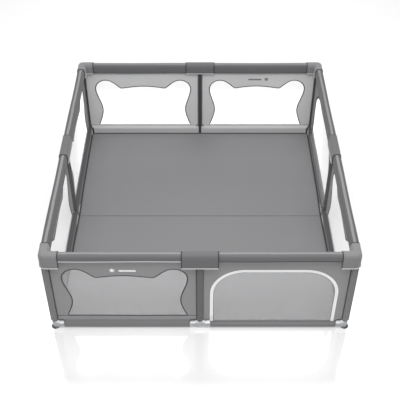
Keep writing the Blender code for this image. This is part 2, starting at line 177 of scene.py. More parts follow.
class Recipe:
    """One material while its nodes are being put together."""

    def __init__(self, name: str) -> None:
        """Start a material with its Principled shader."""
        self.material = bpy.data.materials.new(name)
        self.material.use_nodes = True
        self.tree = self.material.node_tree
        self.shader = self.tree.nodes["Principled BSDF"]

    def feed(self, socket: bpy.types.NodeSocket, value: object) -> None:
        """Link a signal to an input socket, or set the socket to a constant."""
        if isinstance(value, Signal):
            self.tree.links.new(value.socket, socket)
        else:
            socket.default_value = value

    def node(self, kind: str, settings: dict | None = None,
             sockets: dict | None = None, output: int | str = 0) -> Signal:
        """Add a node.

        Args:
            kind: the node's type.
            settings: properties that are set first.
            sockets: input sockets' values or links, by name or number.
            output: the output to hand back.

        Returns:
            The output as a signal.
        """
        made = self.tree.nodes.new(kind)
        for key, value in (settings or {}).items():
            setattr(made, key, value)
        for key, value in (sockets or {}).items():
            self.feed(made.inputs[key], value)
        return Signal(self, made.outputs[output])

    def maths(self, operation: str, first: object, second: object = 0.0,
              clamp: bool = False) -> Signal:
        """Add a Math node.

        Args:
            operation: the Math node's operation.
            first: the first value.
            second: the second value.
            clamp: whether the result is kept between 0 and 1.

        Returns:
            The result.
        """
        return self.node("ShaderNodeMath", {"operation": operation, "use_clamp": clamp},
                         {0: first, 1: second})

    def flat_position(self) -> tuple[Signal, Signal]:
        """Read the piece's own UV map, which is in metres."""
        spot = self.node("ShaderNodeUVMap", {"uv_map": CLOTH_UV})
        across = self.node("ShaderNodeSeparateXYZ", sockets={0: spot})
        return across, Signal(self, across.socket.node.outputs["Y"])

    def cloud(self, size: float, detail: float = 3.0, roughness: float = 0.55,
              squeeze: tuple[float, float, float] = (1, 1, 1)) -> Signal:
        """Read smooth noise over the piece.

        Args:
            size: how far apart its blotches are, in metres.
            detail: octaves.
            roughness: strength of the finer octaves.
            squeeze: how much closer the blotches lie along each axis.

        Returns:
            The noise, from 0 to 1.
        """
        spot = self.node("ShaderNodeTexCoord", output="Object")
        spot = self.node("ShaderNodeMapping", sockets={"Vector": spot, "Scale": squeeze})
        return self.node("ShaderNodeTexNoise", sockets={
            "Vector": spot, "Scale": 1 / size, "Detail": detail, "Roughness": roughness})

    def blend(self, share: object, first: tuple, second: tuple) -> Signal:
        """Mix two colours by a share, which is a signal or a number."""
        return self.node("ShaderNodeMix", {"data_type": "RGBA"},
                         {0: share, 6: (*first, 1), 7: (*second, 1)}, output=2)

    def relief(self, height: Signal, depth: float, strength: float = 1.0) -> None:
        """Raise the surface by a height from 0 to 1, as much as depth in metres."""
        self.feed(self.shader.inputs["Normal"], self.node(
            "ShaderNodeBump", sockets={"Strength": strength, "Distance": depth, "Height": height}))

    def finish(self, **sockets: object) -> Material:
        """Set the shader's sockets, given with _ for spaces, and hand the material back."""
        for key, value in sockets.items():
            title = key.replace("_", " ").title().replace("Ior", "IOR")
            self.feed(self.shader.inputs[title], value)
        return self.material


def shade(colour: Colour, factor: float) -> Colour:
    """Scale a colour's brightness."""
    return tuple(channel * factor for channel in colour)


# ---------------------------------------------------------------- finishes

@dataclass(frozen=True)
class Woven:
    """Plain-woven polyester, with a soft melange and a little sheen."""

    name: str
    colour: Colour
    thread: float = 0.0011
    relief: float = 0.00022
    roughness: float = 0.82
    sheen: float = 0.20
    mottle: float = 0.07

    def material(self) -> Material:
        """Build the material."""
        recipe = Recipe(self.name)
        across, along = recipe.flat_position()
        warp, weft = across.wave(2 * self.thread), along.wave(2 * self.thread)
        over = (warp * weft * 6.0 + 0.5).ridge(0.0, 1.0)
        weave = over * abs(warp) + (1 - over) * abs(weft)
        melange = recipe.cloud(0.0035, 2.0, 0.6, (1.0, 1.0, 2.6))
        blotch = recipe.cloud(0.16, 2.0)
        tone = melange * 0.45 + blotch * 0.3 + weave * 0.25
        recipe.relief(weave + melange * 0.6, self.relief, 0.7)
        tint = recipe.blend(tone.ridge(0.25, 0.75), shade(self.colour, 1 - self.mottle),
                            shade(self.colour, 1 + self.mottle))
        return recipe.finish(
            base_color=tint, roughness=(blotch * 0.10 + weave * 0.06 + self.roughness - 0.08),
            sheen_weight=self.sheen, sheen_roughness=0.45, specular_ior_level=0.25)


@dataclass(frozen=True)
class Net:
    """Light knitted net: round holes on a close three-way grid."""

    name: str
    colour: Colour
    pitch: float = 0.0030
    cover: float = 0.42

    def material(self) -> Material:
        """Build the material."""
        recipe = Recipe(self.name)
        across, along = recipe.flat_position()
        lean = math.sqrt(3) / 2
        waves = [across.wave(self.pitch),
                 (across * 0.5 + along * lean).wave(self.pitch),
                 (across * 0.5 - along * lean).wave(self.pitch)]
        lattice = abs(waves[0] * 0.5) + abs(waves[1] * 0.5) + abs(waves[2] * 0.5)
        edge = 0.66 + 0.55 * self.cover
        thread = 1 - lattice.ridge(edge - 0.05, edge + 0.05)
        cloud = recipe.cloud(0.012, 3.0, 0.6, (1.0, 1.0, 0.10))
        recipe.relief(thread * (1 - lattice), 0.0003, 0.4)
        tint = recipe.blend(cloud.ridge(0.3, 0.7), shade(self.colour, 0.90),
                            shade(self.colour, 1.06))
        return recipe.finish(base_color=tint, roughness=cloud * 0.1 + 0.7, alpha=thread,
                             sheen_weight=0.15, specular_ior_level=0.2)


@dataclass(frozen=True)
class Stitched:
    """Binding tape or piping, ribbed across, with a row of stitches along it."""

    name: str
    colour: Colour
    thread: Colour
    stitch: float = 0.0036
    roughness: float = 0.74

    def material(self) -> Material:
        """Build the material."""
        recipe = Recipe(self.name)
        along, around = recipe.flat_position()
        rib = abs(along.wave(0.0022))
        dash = along.wave(self.stitch).ridge(-0.25, 0.05)
        row = around.wave(0.0042).ridge(0.80, 0.95)
        mark = dash * row
        fuzz = recipe.cloud(0.004, 2.0)
        tint = recipe.blend(mark * 0.55, shade(self.colour, 1.0), self.thread)
        recipe.relief(rib * 0.4 + mark * 0.6 + fuzz * 0.3, 0.0003, 0.6)
        return recipe.finish(base_color=tint, roughness=fuzz * 0.12 + self.roughness - 0.05,
                             sheen_weight=0.15, specular_ior_level=0.3)


@dataclass(frozen=True)
class ZipCoil:
    """Moulded zip teeth in a close row."""

    name: str
    colour: Colour
    pitch: float = 0.0016

    def material(self) -> Material:
        """Build the material."""
        recipe = Recipe(self.name)
        along, _ = recipe.flat_position()
        tooth = abs(along.wave(2 * self.pitch)).ridge(0.25, 0.75)
        # The gaps between the teeth are darker: painted shade between the teeth.
        tint = recipe.blend(tooth, shade(self.colour, 0.62), self.colour)
        recipe.relief(tooth, 0.0005, 0.9)
        return recipe.finish(base_color=tint, roughness=0.45 - tooth * 0.12,
                             specular_ior_level=0.45)


@dataclass(frozen=True)
class Moulded:
    """Moulded plastic or rubber, faintly clouded and pebbled."""

    name: str
    colour: Colour
    roughness: float
    clear: float = 0.0
    coat: float = 0.0
    pebble: float = 0.00008

    def material(self) -> Material:
        """Build the material."""
        recipe = Recipe(self.name)
        cloud, grain = recipe.cloud(0.03), recipe.cloud(0.0012, 2.0)
        scuff = recipe.cloud(0.010, 3.0, 0.6).ridge(0.50, 0.80)
        recipe.relief(grain, self.pebble, 0.8)
        tint = recipe.blend(cloud.ridge(0.3, 0.7), shade(self.colour, 0.92),
                            shade(self.colour, 1.06))
        return recipe.finish(
            base_color=tint, roughness=(cloud * 0.08 + scuff * 0.14 + self.roughness - 0.04),
            transmission_weight=self.clear, coat_weight=self.coat, coat_roughness=0.2, ior=1.48)


@dataclass(frozen=True)
class Enamel:
    """Painted or plated metal, with brighter rubbed spots."""

    name: str
    colour: Colour
    bare: Colour = (0.62, 0.62, 0.63)
    roughness: float = 0.34
    metallic: float = 0.25

    def material(self) -> Material:
        """Build the material."""
        recipe = Recipe(self.name)
        rubbed = recipe.cloud(0.008, 4.0, 0.65).ridge(0.60, 0.70)
        brushed = recipe.cloud(0.002, 2.0, 0.5)
        tint = recipe.blend(rubbed * 0.6, self.colour, self.bare)
        recipe.relief(brushed, 0.00005, 0.5)
        return recipe.finish(base_color=tint, roughness=brushed * 0.10 + self.roughness - 0.05,
                             metallic=rubbed * 0.5 + self.metallic, coat_weight=0.25)


class Finish(Enum):
    """Every finish that the pen uses."""

    WALL = Woven("wall cloth", (0.245, 0.245, 0.250))
    # A darker copy of the wall cloth for the hem: painted shade where the cloth curves under the
    # rail.
    HEM_SHADE = Woven("hem painted shade", (0.162, 0.162, 0.166))
    # Darker copies of the wall cloth for the post channels, darkest at the middle post: painted
    # shade.
    CHANNEL = Woven("channel cloth", (0.112, 0.112, 0.115))
    CORNER_POST_SHADE = Woven("corner channel cloth", (0.165, 0.165, 0.169))
    # The wall's inside faces: a lighter copy of the wall cloth on the front and back and a darker
    # copy on the sides, as painted light and painted shade.
    LIT_INSIDE = Woven("wall lining", (0.550, 0.550, 0.556))
    SHADED_SIDE_INSIDE = Woven("side wall lining", (0.200, 0.200, 0.205))
    # The inner band: a lighter copy of the cloth on the front and back and a darker copy on the
    # sides, as painted light and painted shade.
    LIT_BAND = Woven("inner skirt cloth", (0.440, 0.440, 0.446))
    SIDE_BAND_SHADE = Woven("side skirt painted shade", (0.075, 0.075, 0.078))
    SLEEVE = Woven("sleeve cloth", (0.117, 0.117, 0.121), thread=0.0013, sheen=0.25)
    # A darker copy of the sleeve cloth for the side rails: painted shade.
    SIDE_SLEEVE_SHADE = Woven("side sleeve painted shade", (0.092, 0.092, 0.095), thread=0.0013, sheen=0.15)
    # A paler colour for the faces along the sleeve's top.
    STRIP = Woven("paler sleeve top", (0.200, 0.200, 0.205), thread=0.0013, sheen=0.35)
    COVER = Woven("cover cloth", (0.182, 0.182, 0.186), thread=0.0013, sheen=0.3)
    FLOOR = Woven("floor cloth", (0.192, 0.192, 0.197), thread=0.0015, relief=0.0003,
                  roughness=0.78, sheen=0.1, mottle=0.04)
    NET = Net("window net", (0.77, 0.77, 0.78))
    BINDING = Stitched("dark binding", (0.036, 0.036, 0.039), (0.11, 0.11, 0.115))
    # Pale piping: a real bead whose pale colour is a painted highlight where it catches the light.
    PIPING = Stitched("light piping", (0.52, 0.52, 0.53), (0.62, 0.62, 0.63))
    SEAM = Stitched("wall piping", (0.20, 0.20, 0.205), (0.30, 0.30, 0.305))
    TAPE = Stitched("white zip tape", (0.88, 0.88, 0.88), (0.66, 0.66, 0.66), stitch=0.003)
    COIL = ZipCoil("zip teeth", (0.82, 0.82, 0.82))
    FOOT = Moulded("smoky foot plastic", (0.43, 0.44, 0.455), 0.30, clear=0.22, coat=0.3)
    # A paler plastic for the feet's upward faces: a painted highlight.
    FOOT_HIGHLIGHT = Moulded("frosted foot plastic", (0.88, 0.89, 0.90), 0.34, clear=0.10, coat=0.4)
    HUB = Moulded("grey hub plastic", (0.12, 0.12, 0.125), 0.5)
    CUP = Moulded("suction cup rubber", (0.055, 0.055, 0.06), 0.42, clear=0.0, coat=0.15)
    STEEL = Enamel("painted steel tube", (0.40, 0.40, 0.41))
    ZIP = Enamel("enamelled zip metal", (0.72, 0.72, 0.73))
    PRINT = Moulded("pale print", (0.80, 0.80, 0.80), 0.55, pebble=0.0002)
    DARK_PRINT = Moulded("dark print", (0.17, 0.17, 0.175), 0.6, pebble=0.0002)

    @property
    def material(self) -> Material:
        """Give the finish's material, made the first time that it is asked for."""
        return bpy.data.materials.get(self.value.name) or self.value.material()


# ---------------------------------------------------------------- shapes

def smooth_step(start: float, end: float, at: float) -> float:
    """Rise smoothly from 0 at start to 1 at end."""
    share = min(1.0, max(0.0, (at - start) / (end - start)))
    return share * share * (3 - 2 * share)


def spaced(start: float, end: float, step: float) -> list[float]:
    """List evenly spaced numbers from start to end, about a step apart."""
    count = max(1, round(abs(end - start) / step))
    return [start + (end - start) * i / count for i in range(count + 1)]


def arc(centre: Point, radius: float, start: float, end: float, steps: int) -> list[Point]:
    """List points on an arc between two angles in degrees."""
    turns = [math.radians(start + (end - start) * i / steps) for i in range(steps + 1)]
    return [(centre[0] + radius * math.cos(t), centre[1] + radius * math.sin(t)) for t in turns]


def oval(wide: float, deep: float, steps: int, centre: Point = (0, 0)) -> list[Point]:
    """List points round an oval with the given half sizes."""
    circle = arc((0, 0), 1, 0, 360, steps)[:-1]
    return [(centre[0] + wide * a, centre[1] + deep * b) for a, b in circle]


def slab(left: float, right: float, low: float, high: float) -> list[Point]:
    """List a tape section's corners, up its left side and down its right."""
    return [(left, low), (left, high), (right, high), (right, low)]


def refined(section: Sequence[Point], step: float, ring: bool = True) -> list[Point]:
    """Add points along a section so that none are further apart than a step."""
    pairs = list(zip(section, section[1:])) + ([(section[-1], section[0])] if ring else [])
    points: list[Point] = []
    for first, second in pairs:
        count = max(1, math.ceil(math.dist(first, second) / step))
        points += [(first[0] + (second[0] - first[0]) * i / count,
                    first[1] + (second[1] - first[1]) * i / count) for i in range(count)]
    return points if ring else points + [section[-1]]


def sweep(section: Sequence[Point], stations: Sequence[float], place: Place,
          ring: bool = True, caps: bool = True, loop: bool = False) -> Shape:
    """Extrude a section through stations, and give it a UV map in metres.

    Args:
        section: the section's points.
        stations: what place is told at each step along the way.
        place: gives the point for a section point's two numbers and a station.
        ring: whether the section is closed.
        caps: whether the ends are filled.
        loop: whether the last station joins the first.

    Returns:
        The swept shape.
    """
    bm = bmesh.new()
    uv = bm.loops.layers.uv.new(CLOTH_UV)
    row = [bm.verts.new(place(a, b, stations[0])) for a, b in section]
    pairs = list(zip(row, row[1:])) + ([(row[-1], row[0])] if ring else [])
    edges = [bm.edges.new(pair) for pair in pairs]
    around = [0.0]
    for first, second in zip(section, list(section[1:]) + [section[0]]):
        around.append(around[-1] + math.dist(first, second))
    spots = {vert: (0.0, around[i]) for i, vert in enumerate(row)}
    ends, along = [edges], 0.0
    for station in stations[1:]:
        made = bmesh.ops.extrude_edge_only(bm, edges=edges)["geom"]
        fresh = {part for part in made if isinstance(part, bmesh.types.BMVert)}
        edges = [part for part in made if isinstance(part, bmesh.types.BMEdge)
                 and all(vert in fresh for vert in part.verts)]
        following = [next(e.other_vert(vert) for e in vert.link_edges
                          if e.other_vert(vert) in fresh) for vert in row]
        for vert, (a, b) in zip(following, section):
            vert.co = place(a, b, station)
        along += (following[0].co - row[0].co).length
        spots.update({vert: (along, around[i]) for i, vert in enumerate(following)})
        row = following
    ends.append(edges)
    for face in bm.faces:
        marks = [spots[corner.vert] for corner in face.loops]
        wraps = ring and max(m[1] for m in marks) - min(m[1] for m in marks) > around[-1] / 2
        for corner, (far, turn) in zip(face.loops, marks):
            corner[uv].uv = (far, turn + around[-1] if wraps and turn == 0 else turn)
    if loop:
        bmesh.ops.bridge_loops(bm, edges=ends[0] + ends[1])
    elif ring and caps:
        for end in ends:
            bmesh.ops.contextual_create(bm, geom=end)
    return bm


def as_mesh(bm: Shape, name: str = "scratch") -> Mesh:
    """Write a shape to a new mesh, and free it."""
    mesh = bpy.data.meshes.new(name)
    bm.to_mesh(mesh)
    bm.free()
    return mesh


def as_shape(mesh: Mesh) -> Shape:
    """Read a mesh into a new shape."""
    bm = bmesh.new()
    bm.from_mesh(mesh)
    return bm


def joined(*parts: Shape) -> Shape:
    """Gather shapes into one, and free the others."""
    whole = parts[0]
    for part in parts[1:]:
        mesh = as_mesh(part)
        whole.from_mesh(mesh)
        bpy.data.meshes.remove(mesh)
    return whole


def evaluated(thing: Thing) -> Mesh:
    """Read an object's mesh with its modifiers applied, and remove the object."""
    bpy.context.view_layer.update()
    graph = bpy.context.evaluated_depsgraph_get()
    mesh = bpy.data.meshes.new_from_object(thing.evaluated_get(graph))
    bpy.data.objects.remove(thing, do_unlink=True)
    return mesh


def scratch(mesh: Mesh) -> Thing:
    """Put a mesh on an object that is only there to be worked on."""
    thing = bpy.data.objects.new("scratch", mesh)
    bpy.context.scene.collection.objects.link(thing)
    return thing


def prisms(outlines: Iterable[Sequence[Point]]) -> Mesh:
    """Fill upright outlines and extrude them right through the wall, as cutters."""
    bm = bmesh.new()
    for outline in outlines:
        corners = [bm.verts.new((x, -0.08, z)) for x, z in outline]
        edges = [bm.edges.new(pair) for pair in zip(corners, corners[1:] + corners[:1])]
        face = bmesh.ops.contextual_create(bm, geom=edges)["faces"]
        out = bmesh.ops.extrude_face_region(bm, geom=face)["geom"]
        bmesh.ops.translate(bm, vec=(0, 0.16, 0),
                            verts=[g for g in out if isinstance(g, bmesh.types.BMVert)])
    bmesh.ops.recalc_face_normals(bm, faces=bm.faces[:])
    return as_mesh(bm)


@dataclass(frozen=True)
class Panel:
    """A flat upright cut of cloth on a side's own axes, before it is hung."""

    low: Point
    high: Point
    thickness: float
    cell: float = 0.014
    extra_rows: tuple[float, ...] = ()

    @classmethod
    def around(cls, outline: Sequence[Point], margin: float, thickness: float,
               cell: float) -> "Panel":
        """Give a cut that is larger than an outline by a margin."""
        xs, zs = zip(*outline)
        return cls((min(xs) - margin, min(zs) - margin), (max(xs) + margin, max(zs) + margin),
                   thickness, cell)

    def cloth(self, holes: Sequence[Sequence[Point]] = (),
              keep: Sequence[Point] | None = None) -> Shape:
        """Cut the cloth.

        Args:
            holes: outlines that are cut away.
            keep: an outline, outside of which everything is cut away.

        Returns:
            The cut cloth, closed round its edges.
        """
        wide, tall = self.high[0] - self.low[0], self.high[1] - self.low[1]
        bm = bmesh.new()
        place = (Matrix.Translation(((self.low[0] + self.high[0]) / 2, 0,
                                     (self.low[1] + self.high[1]) / 2))
                 @ Matrix.Rotation(math.radians(90), 4, "X")
                 @ Matrix.Diagonal((wide, tall, 1, 1)))
        bmesh.ops.create_grid(bm, x_segments=round(wide / self.cell),
                              y_segments=round(tall / self.cell), size=0.5, matrix=place)
        for level in self.extra_rows:
            bmesh.ops.bisect_plane(bm, geom=bm.verts[:] + bm.edges[:] + bm.faces[:], dist=1e-4,
                                   plane_co=(0, 0, level), plane_no=(0, 0, 1))
        bmesh.ops.solidify(bm, geom=bm.faces[:], thickness=self.thickness)
        shift = -sum(v.co.y for v in bm.verts) / len(bm.verts)
        bmesh.ops.translate(bm, vec=(0, shift, 0), verts=bm.verts[:])
        bmesh.ops.recalc_face_normals(bm, faces=bm.faces[:])
        base, tools = scratch(as_mesh(bm)), []
        for operation, outlines in (("INTERSECT", [keep] if keep else []),
                                    ("DIFFERENCE", list(holes))):
            if outlines:
                tools.append(scratch(prisms(outlines)))
                change = base.modifiers.new(operation, "BOOLEAN")
                change.operation, change.solver, change.object = operation, "EXACT", tools[-1]
        bm = as_shape(evaluated(base))
        for tool in tools:
            bpy.data.objects.remove(tool, do_unlink=True)
        bmesh.ops.remove_doubles(bm, verts=bm.verts[:], dist=1e-5)
        return flat_mapped(bm)


def flat_mapped(bm: Shape) -> Shape:
    """Give an upright shape a UV map of its X and Z in metres."""
    uv = bm.loops.layers.uv.get(CLOTH_UV) or bm.loops.layers.uv.new(CLOTH_UV)
    for face in bm.faces:
        for corner in face.loops:
            corner[uv].uv = (corner.vert.co.x, corner.vert.co.z)
    return bm


def one_skin(bm: Shape) -> Shape:
    """Keep only the outward face of a cut cloth, for net too fine to have a thickness."""
    bm.normal_update()
    bmesh.ops.delete(bm, geom=[f for f in bm.faces if f.normal.y > -0.5], context="FACES")
    bmesh.ops.translate(bm, vec=(0, -bm.verts[:][0].co.y, 0), verts=bm.verts[:])
    return bm


# ---------------------------------------------------------------- making pieces

@dataclass
class Workshop:
    """Turns shapes into finished pieces and keeps count of them."""

    count: int = 0

    def piece(self, name: str, shape: Shape | Mesh, finish: Finish,
              slot: str, matrix: Matrix = Matrix.Identity(4), body: str = "root",
              replaces: Sequence[str] = (), sharp: float = 40.0, recalculate: bool = True,
              second: Finish | None = None,
              where: Callable[[Face], bool] | None = None) -> Thing:
        """Make one finished piece.

        Args:
            name: the piece's name.
            shape: its mesh, on the axes that matrix turns into the frame's.
            finish: its finish.
            slot: the record's material slot, which is not used.
            matrix: the place of its axes.
            body: the CAD body that it rides on.
            replaces: the CAD nodes that it stands for.
            sharp: the angle in degrees past which an edge is drawn sharp.
            recalculate: whether faces are first made to point outward.
            second: another finish for some of the faces.
            where: says whether a face, on the shape's own axes, takes the second finish.

        Returns:
            The piece.
        """
        bm = as_shape(shape) if isinstance(shape, Mesh) else shape
        if recalculate:
            bmesh.ops.recalc_face_normals(bm, faces=bm.faces[:])
        bm.normal_update()
        for face in bm.faces:
            face.material_index = int(bool(where and where(face)))
        bmesh.ops.transform(bm, matrix=matrix, verts=bm.verts[:])
        mesh = as_mesh(bm, name)
        for coat in (finish, second):
            if coat:
                mesh.materials.append(coat.material)
        mesh.shade_smooth()
        mesh.set_sharp_from_angle(angle=math.radians(sharp))
        made = bpy.data.objects.new(name, mesh)
        bpy.context.scene.collection.objects.link(made)
        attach(made, body)
        if replaces:
            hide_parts(*replaces)
        self.count += 1
        LOG.info("%s: %d faces on %s", name, len(mesh.polygons), body)
        return made


@dataclass(frozen=True)
class Filling:
    """How a padded cover swells between its seams."""

    pressure: float
    cap: float
    frames: int = 20

    def fill(self, bm: Shape, seam: Callable[[Vector], bool],
             skin: Callable[[Vector], float]) -> Shape:
        """Blow up a padded shape as cloth, and keep a part of the swelling.

        Args:
            bm: the shape, which is freed.
            seam: says whether a point is sewn down.
            skin: gives how much of its movement a point keeps, from 0 to 1.

        Returns:
            The filled shape.
        """
        bmesh.ops.recalc_face_normals(bm, faces=bm.faces[:])
        mesh = bpy.data.meshes.new("padded")
        bm.to_mesh(mesh)
        pad = scratch(mesh)
        rest = np.array([v.co for v in mesh.vertices], float)
        sewn = [i for i, v in enumerate(mesh.vertices) if seam(v.co)]
        pad.vertex_groups.new(name="seams").add(sewn, 1.0, "REPLACE")
        self.simulate(pad)
        graph = bpy.context.evaluated_depsgraph_get()
        after = pad.evaluated_get(graph).data
        moved = np.array([v.co for v in after.vertices], float) - rest
        reach = np.linalg.norm(moved, axis=1)
        usual = max(self.cap, float(np.percentile(reach, 97)))
        moved *= self.cap / usual
        reach = np.linalg.norm(moved, axis=1)
        moved *= np.minimum(1.0, 1.25 * self.cap / np.maximum(reach, 1e-9))[:, None]
        moved *= np.array([skin(Vector(point)) for point in rest])[:, None]
        bpy.data.objects.remove(pad, do_unlink=True)
        bpy.data.meshes.remove(mesh)
        bm.verts.ensure_lookup_table()
        for vert, step in zip(bm.verts, moved):
            vert.co += Vector(step)
        bpy.context.scene.frame_set(1)
        return bm

    def simulate(self, pad: Thing) -> None:
        """Run the cloth on a pad, frame by frame."""
        cloth = pad.modifiers.new("cloth", "CLOTH")
        settings = cloth.settings
        settings.vertex_group_mass = "seams"
        settings.quality = 5
        settings.mass = 0.25
        settings.tension_stiffness = settings.compression_stiffness = 12
        settings.shear_stiffness = 6
        settings.bending_stiffness = 0.6
        settings.use_pressure = True
        settings.uniform_pressure_force = self.pressure
        settings.effector_weights.gravity = 0
        cloth.collision_settings.use_collision = False
        cloth.collision_settings.use_self_collision = False
        cloth.point_cache.frame_start, cloth.point_cache.frame_end = 1, self.frames
        for number in range(1, self.frames + 1):
            bpy.context.scene.frame_set(number)


def subdivided(bm: Shape) -> Mesh:
    """Give a shape one level of subdivision surface."""
    thing = scratch(as_mesh(bm))
    change = thing.modifiers.new("smooth", "SUBSURF")
    change.levels = change.render_levels = 1
    return evaluated(thing)


# ---------------------------------------------------------------- padded top

@dataclass
class PaddedTop:
    """The padded sleeve over the top rails, in eight lengths, and the covers at every hub."""

    shop: Workshop
    top: float = SLEEVE_HIGH.z
    outside_drop: float = 0.042
    inside_drop: float = SLEEVE_HIGH.z - SLEEVE_LOW.z
    half_width: float = 0.0238
    bore: float = 0.0136
    cover_top: float = COVER_HIGH.z
    cover_outside: float = COVER_LOW.z
    cover_inside: float = 0.555
    cover_half: float = 0.0282
    cover_thick: float = 0.0036
    corner_round: float = 0.006
    corner_arm: float = 0.082
    tee_half: float = 0.103
    under_cover: float = 0.018

    def sleeve_section(self) -> list[Point]:
        """Outline the sleeve's section, as outward distance and height."""
        half, top, rim = self.half_width, self.top, self.bore
        outer, inner = top - self.outside_drop, top - self.inside_drop
        return [(half, outer), (half + 0.0004, outer + 0.012), (half - 0.0002, top - 0.016),
                (half - 0.0022, top - 0.0090), (half - 0.0065, top - 0.0038),
                (0.0105, top - 0.0010), (0.0050, top - 0.0001), (-0.0025, top),
                (-0.0100, top - 0.0010),
                (0.0065 - half, top - 0.0038), (0.0022 - half, top - 0.0090),
                (0.0002 - half, top - 0.018), (-half, inner + 0.02), (0.0006 - half, inner),
                (-rim, inner), (-rim, top - 0.024), (-rim * 0.72, top - 0.0145),
                (0, top - 0.0103), (rim * 0.72, top - 0.0145), (rim, top - 0.024), (rim, outer)]

    def build_sleeves(self) -> None:
        """Make the eight padded lengths, with piping on their lower outside edges."""
        lengths = {}
        for side in SIDES:
            start = self.tee_half - self.under_cover
            end = side.half - self.corner_arm + self.under_cover
            if side.half not in lengths:
                lengths[side.half] = self.padded_length(start, end)
            for name, sign in zip(("left", "right"), (-1, 1)):
                wear = 0.0011 * (1 if side.turn < 180 else -1)

                def worn(x: float) -> float:
                    """Give how far the sleeve has shifted inward at a place along it."""
                    return wear * math.sin(9 * x + side.turn + 2 * sign)

                def follow(out: float, height: float, x: float) -> Vector:
                    """Place a piping point along the worn sleeve."""
                    return Vector((x, -out + worn(x), height))

                mesh = lengths[side.half].copy()
                mesh.transform(Matrix.Diagonal((sign, 1, 1, 1)))
                for vert in mesh.vertices:
                    vert.co.y += worn(vert.co.x)
                # The side rails' sleeves take a darker copy of the sleeve cloth: painted shade.
                cloth = Finish.SLEEVE if side.half == AXIS_X else Finish.SIDE_SLEEVE_SHADE
                made = self.shop.piece(f"sleeve_{side.name}_{name}", mesh, cloth,
                                       "sleeve_cloth", side.matrix, replaces=["top_sleeve"],
                                       second=Finish.STRIP, where=self.on_strip)
                run = spaced(sign * start, sign * end, 0.02)
                # The pale piping's colour is a painted highlight; over the doorway the piping is
                # dark.
                line = Finish.BINDING if side.has_door and sign == 1 else Finish.PIPING
                outer = sweep(oval(0.0023, 0.0024, 8, (self.half_width - 0.0004,
                                                       self.top - self.outside_drop)), run, follow)
                self.shop.piece(f"sleeve_piping_{side.name}_{name}", outer, line,
                                "sleeve_cloth", side.matrix)
                # A dark bead under the sleeve's inner lower edge: a painted shadow line.
                inner = sweep(oval(0.0017, 0.0022, 8, (0.0012 - self.half_width,
                                                       self.top - self.inside_drop + 0.001)),
                              run, follow)
                self.shop.piece(f"sleeve_hem_{side.name}_{name}", inner, Finish.BINDING,
                                "sleeve_cloth", side.matrix)

    def on_strip(self, face: Face) -> bool:
        """Say whether a sleeve's face is on the strip along its top, which is given a paler colour.
        """
        middle = face.calc_center_median()
        return middle.z > self.top - 0.0035 and -0.0103 < -middle.y < 0.0050

    def padded_length(self, start: float, end: float) -> Mesh:
        """Sweep one length of sleeve, and fill it."""
        section = refined(self.sleeve_section(), 0.0065)
        bm = sweep(section, spaced(start, end, 0.009),
                   lambda out, height, x: Vector((x, -out, height)))
        creases = (0.0050, -0.0100)
        rims = (self.top - self.outside_drop, self.top - self.inside_drop)

        def seam(point: Vector) -> bool:
            """Say whether a point is on a seam, a rim or an end."""
            crease = min(abs(-point.y - line) for line in creases)
            return (min(point.x - start, end - point.x) < 0.004
                    or point.z > self.top - 0.0012 and crease < 0.001
                    or point.y < 0 and point.z < rims[0] + 0.002 or point.z < rims[1] + 0.002)

        def skin(point: Vector) -> float:
            """Let only the outer skin move."""
            deep = max(abs(point.y) - self.bore, point.z - (self.top - 0.009))
            return smooth_step(0.001, 0.004, deep)

        return subdivided(Filling(4.0, 0.0016).fill(bm, seam, skin))

    def cover_section(self) -> list[Point]:
        """Outline a cover's section, lower outside than inside."""
        half, top, thick = self.cover_half, self.cover_top, self.cover_thick
        outer = [(half, self.cover_outside), (half + 0.0004, top - 0.05), (half, top - 0.019),
                 (half - 0.0040, top - 0.0085), (half - 0.0100, top - 0.0028), (0.011, top),
                 (-0.011, top), (0.0100 - half, top - 0.0028), (0.0040 - half, top - 0.0085),
                 (-half, top - 0.019), (-half, self.cover_inside)]
        deep = [(x * (1 - thick / half), z - (thick if abs(x) < half - 0.005 else 0.0))
                for x, z in outer[1:-1]]
        ends = [(thick - half, self.cover_inside), (half - thick, self.cover_outside)]
        return outer + [ends[0]] + deep[::-1] + [ends[1]]

    def around_corner(self, out: float, height: float, way: float) -> Vector:
        """Place a section point of a corner cover.

        Args:
            out: the section point's distance outward.
            height: its height.
            way: 0 to 1 along the first arm, 1 to 2 round the corner, 2 to 3 along the second.

        Returns:
            The point, for a corner whose sides run along -X and +Y.
        """
        knee = max(self.corner_round, -out)
        if way <= 1:
            return Vector((-self.corner_arm + (self.corner_arm - knee) * way, -out, height))
        if way >= 2:
            return Vector((out, knee + (self.corner_arm - knee) * (way - 2), height))
        turn, reach = math.radians(90 * (way - 1)), out + knee
        return Vector((-knee + reach * math.sin(turn), knee - reach * math.cos(turn), height))

    def along_tee(self, out: float, height: float, way: float) -> Vector:
        """Place a section point of a tee cover."""
        return Vector((way * self.tee_half, -out, height))

    def padded_cover(self, place: Place, stations: list[float]) -> Mesh:
        """Sweep a cover and fill it between its rims."""
        bm = sweep(refined(self.cover_section(), 0.006), stations, place)
        bmesh.ops.remove_doubles(bm, verts=bm.verts[:], dist=1e-5)
        first, last = place(0, 0, stations[0]), place(0, 0, stations[-1])
        straight = first.x == -last.x

        def seam(point: Vector) -> bool:
            """Say whether a point is on a rim or an end."""
            far = abs(point.x - last.x) if straight else abs(point.y - last.y)
            near = min(abs(point.x - first.x), far)
            return near < 0.003 or point.z < self.cover_outside + 0.002

        def skin(point: Vector) -> float:
            """Let only the outer skin move."""
            if straight:
                wide = abs(point.y)
            else:
                wide = max(point.x, -point.y, min(-point.x, point.y))
            deep = max(wide - (self.cover_half - 0.0022), point.z - (self.cover_top - 0.0018))
            return smooth_step(-0.0008, 0.0010, deep)

        return subdivided(Filling(4.0, 0.0028).fill(bm, seam, skin))

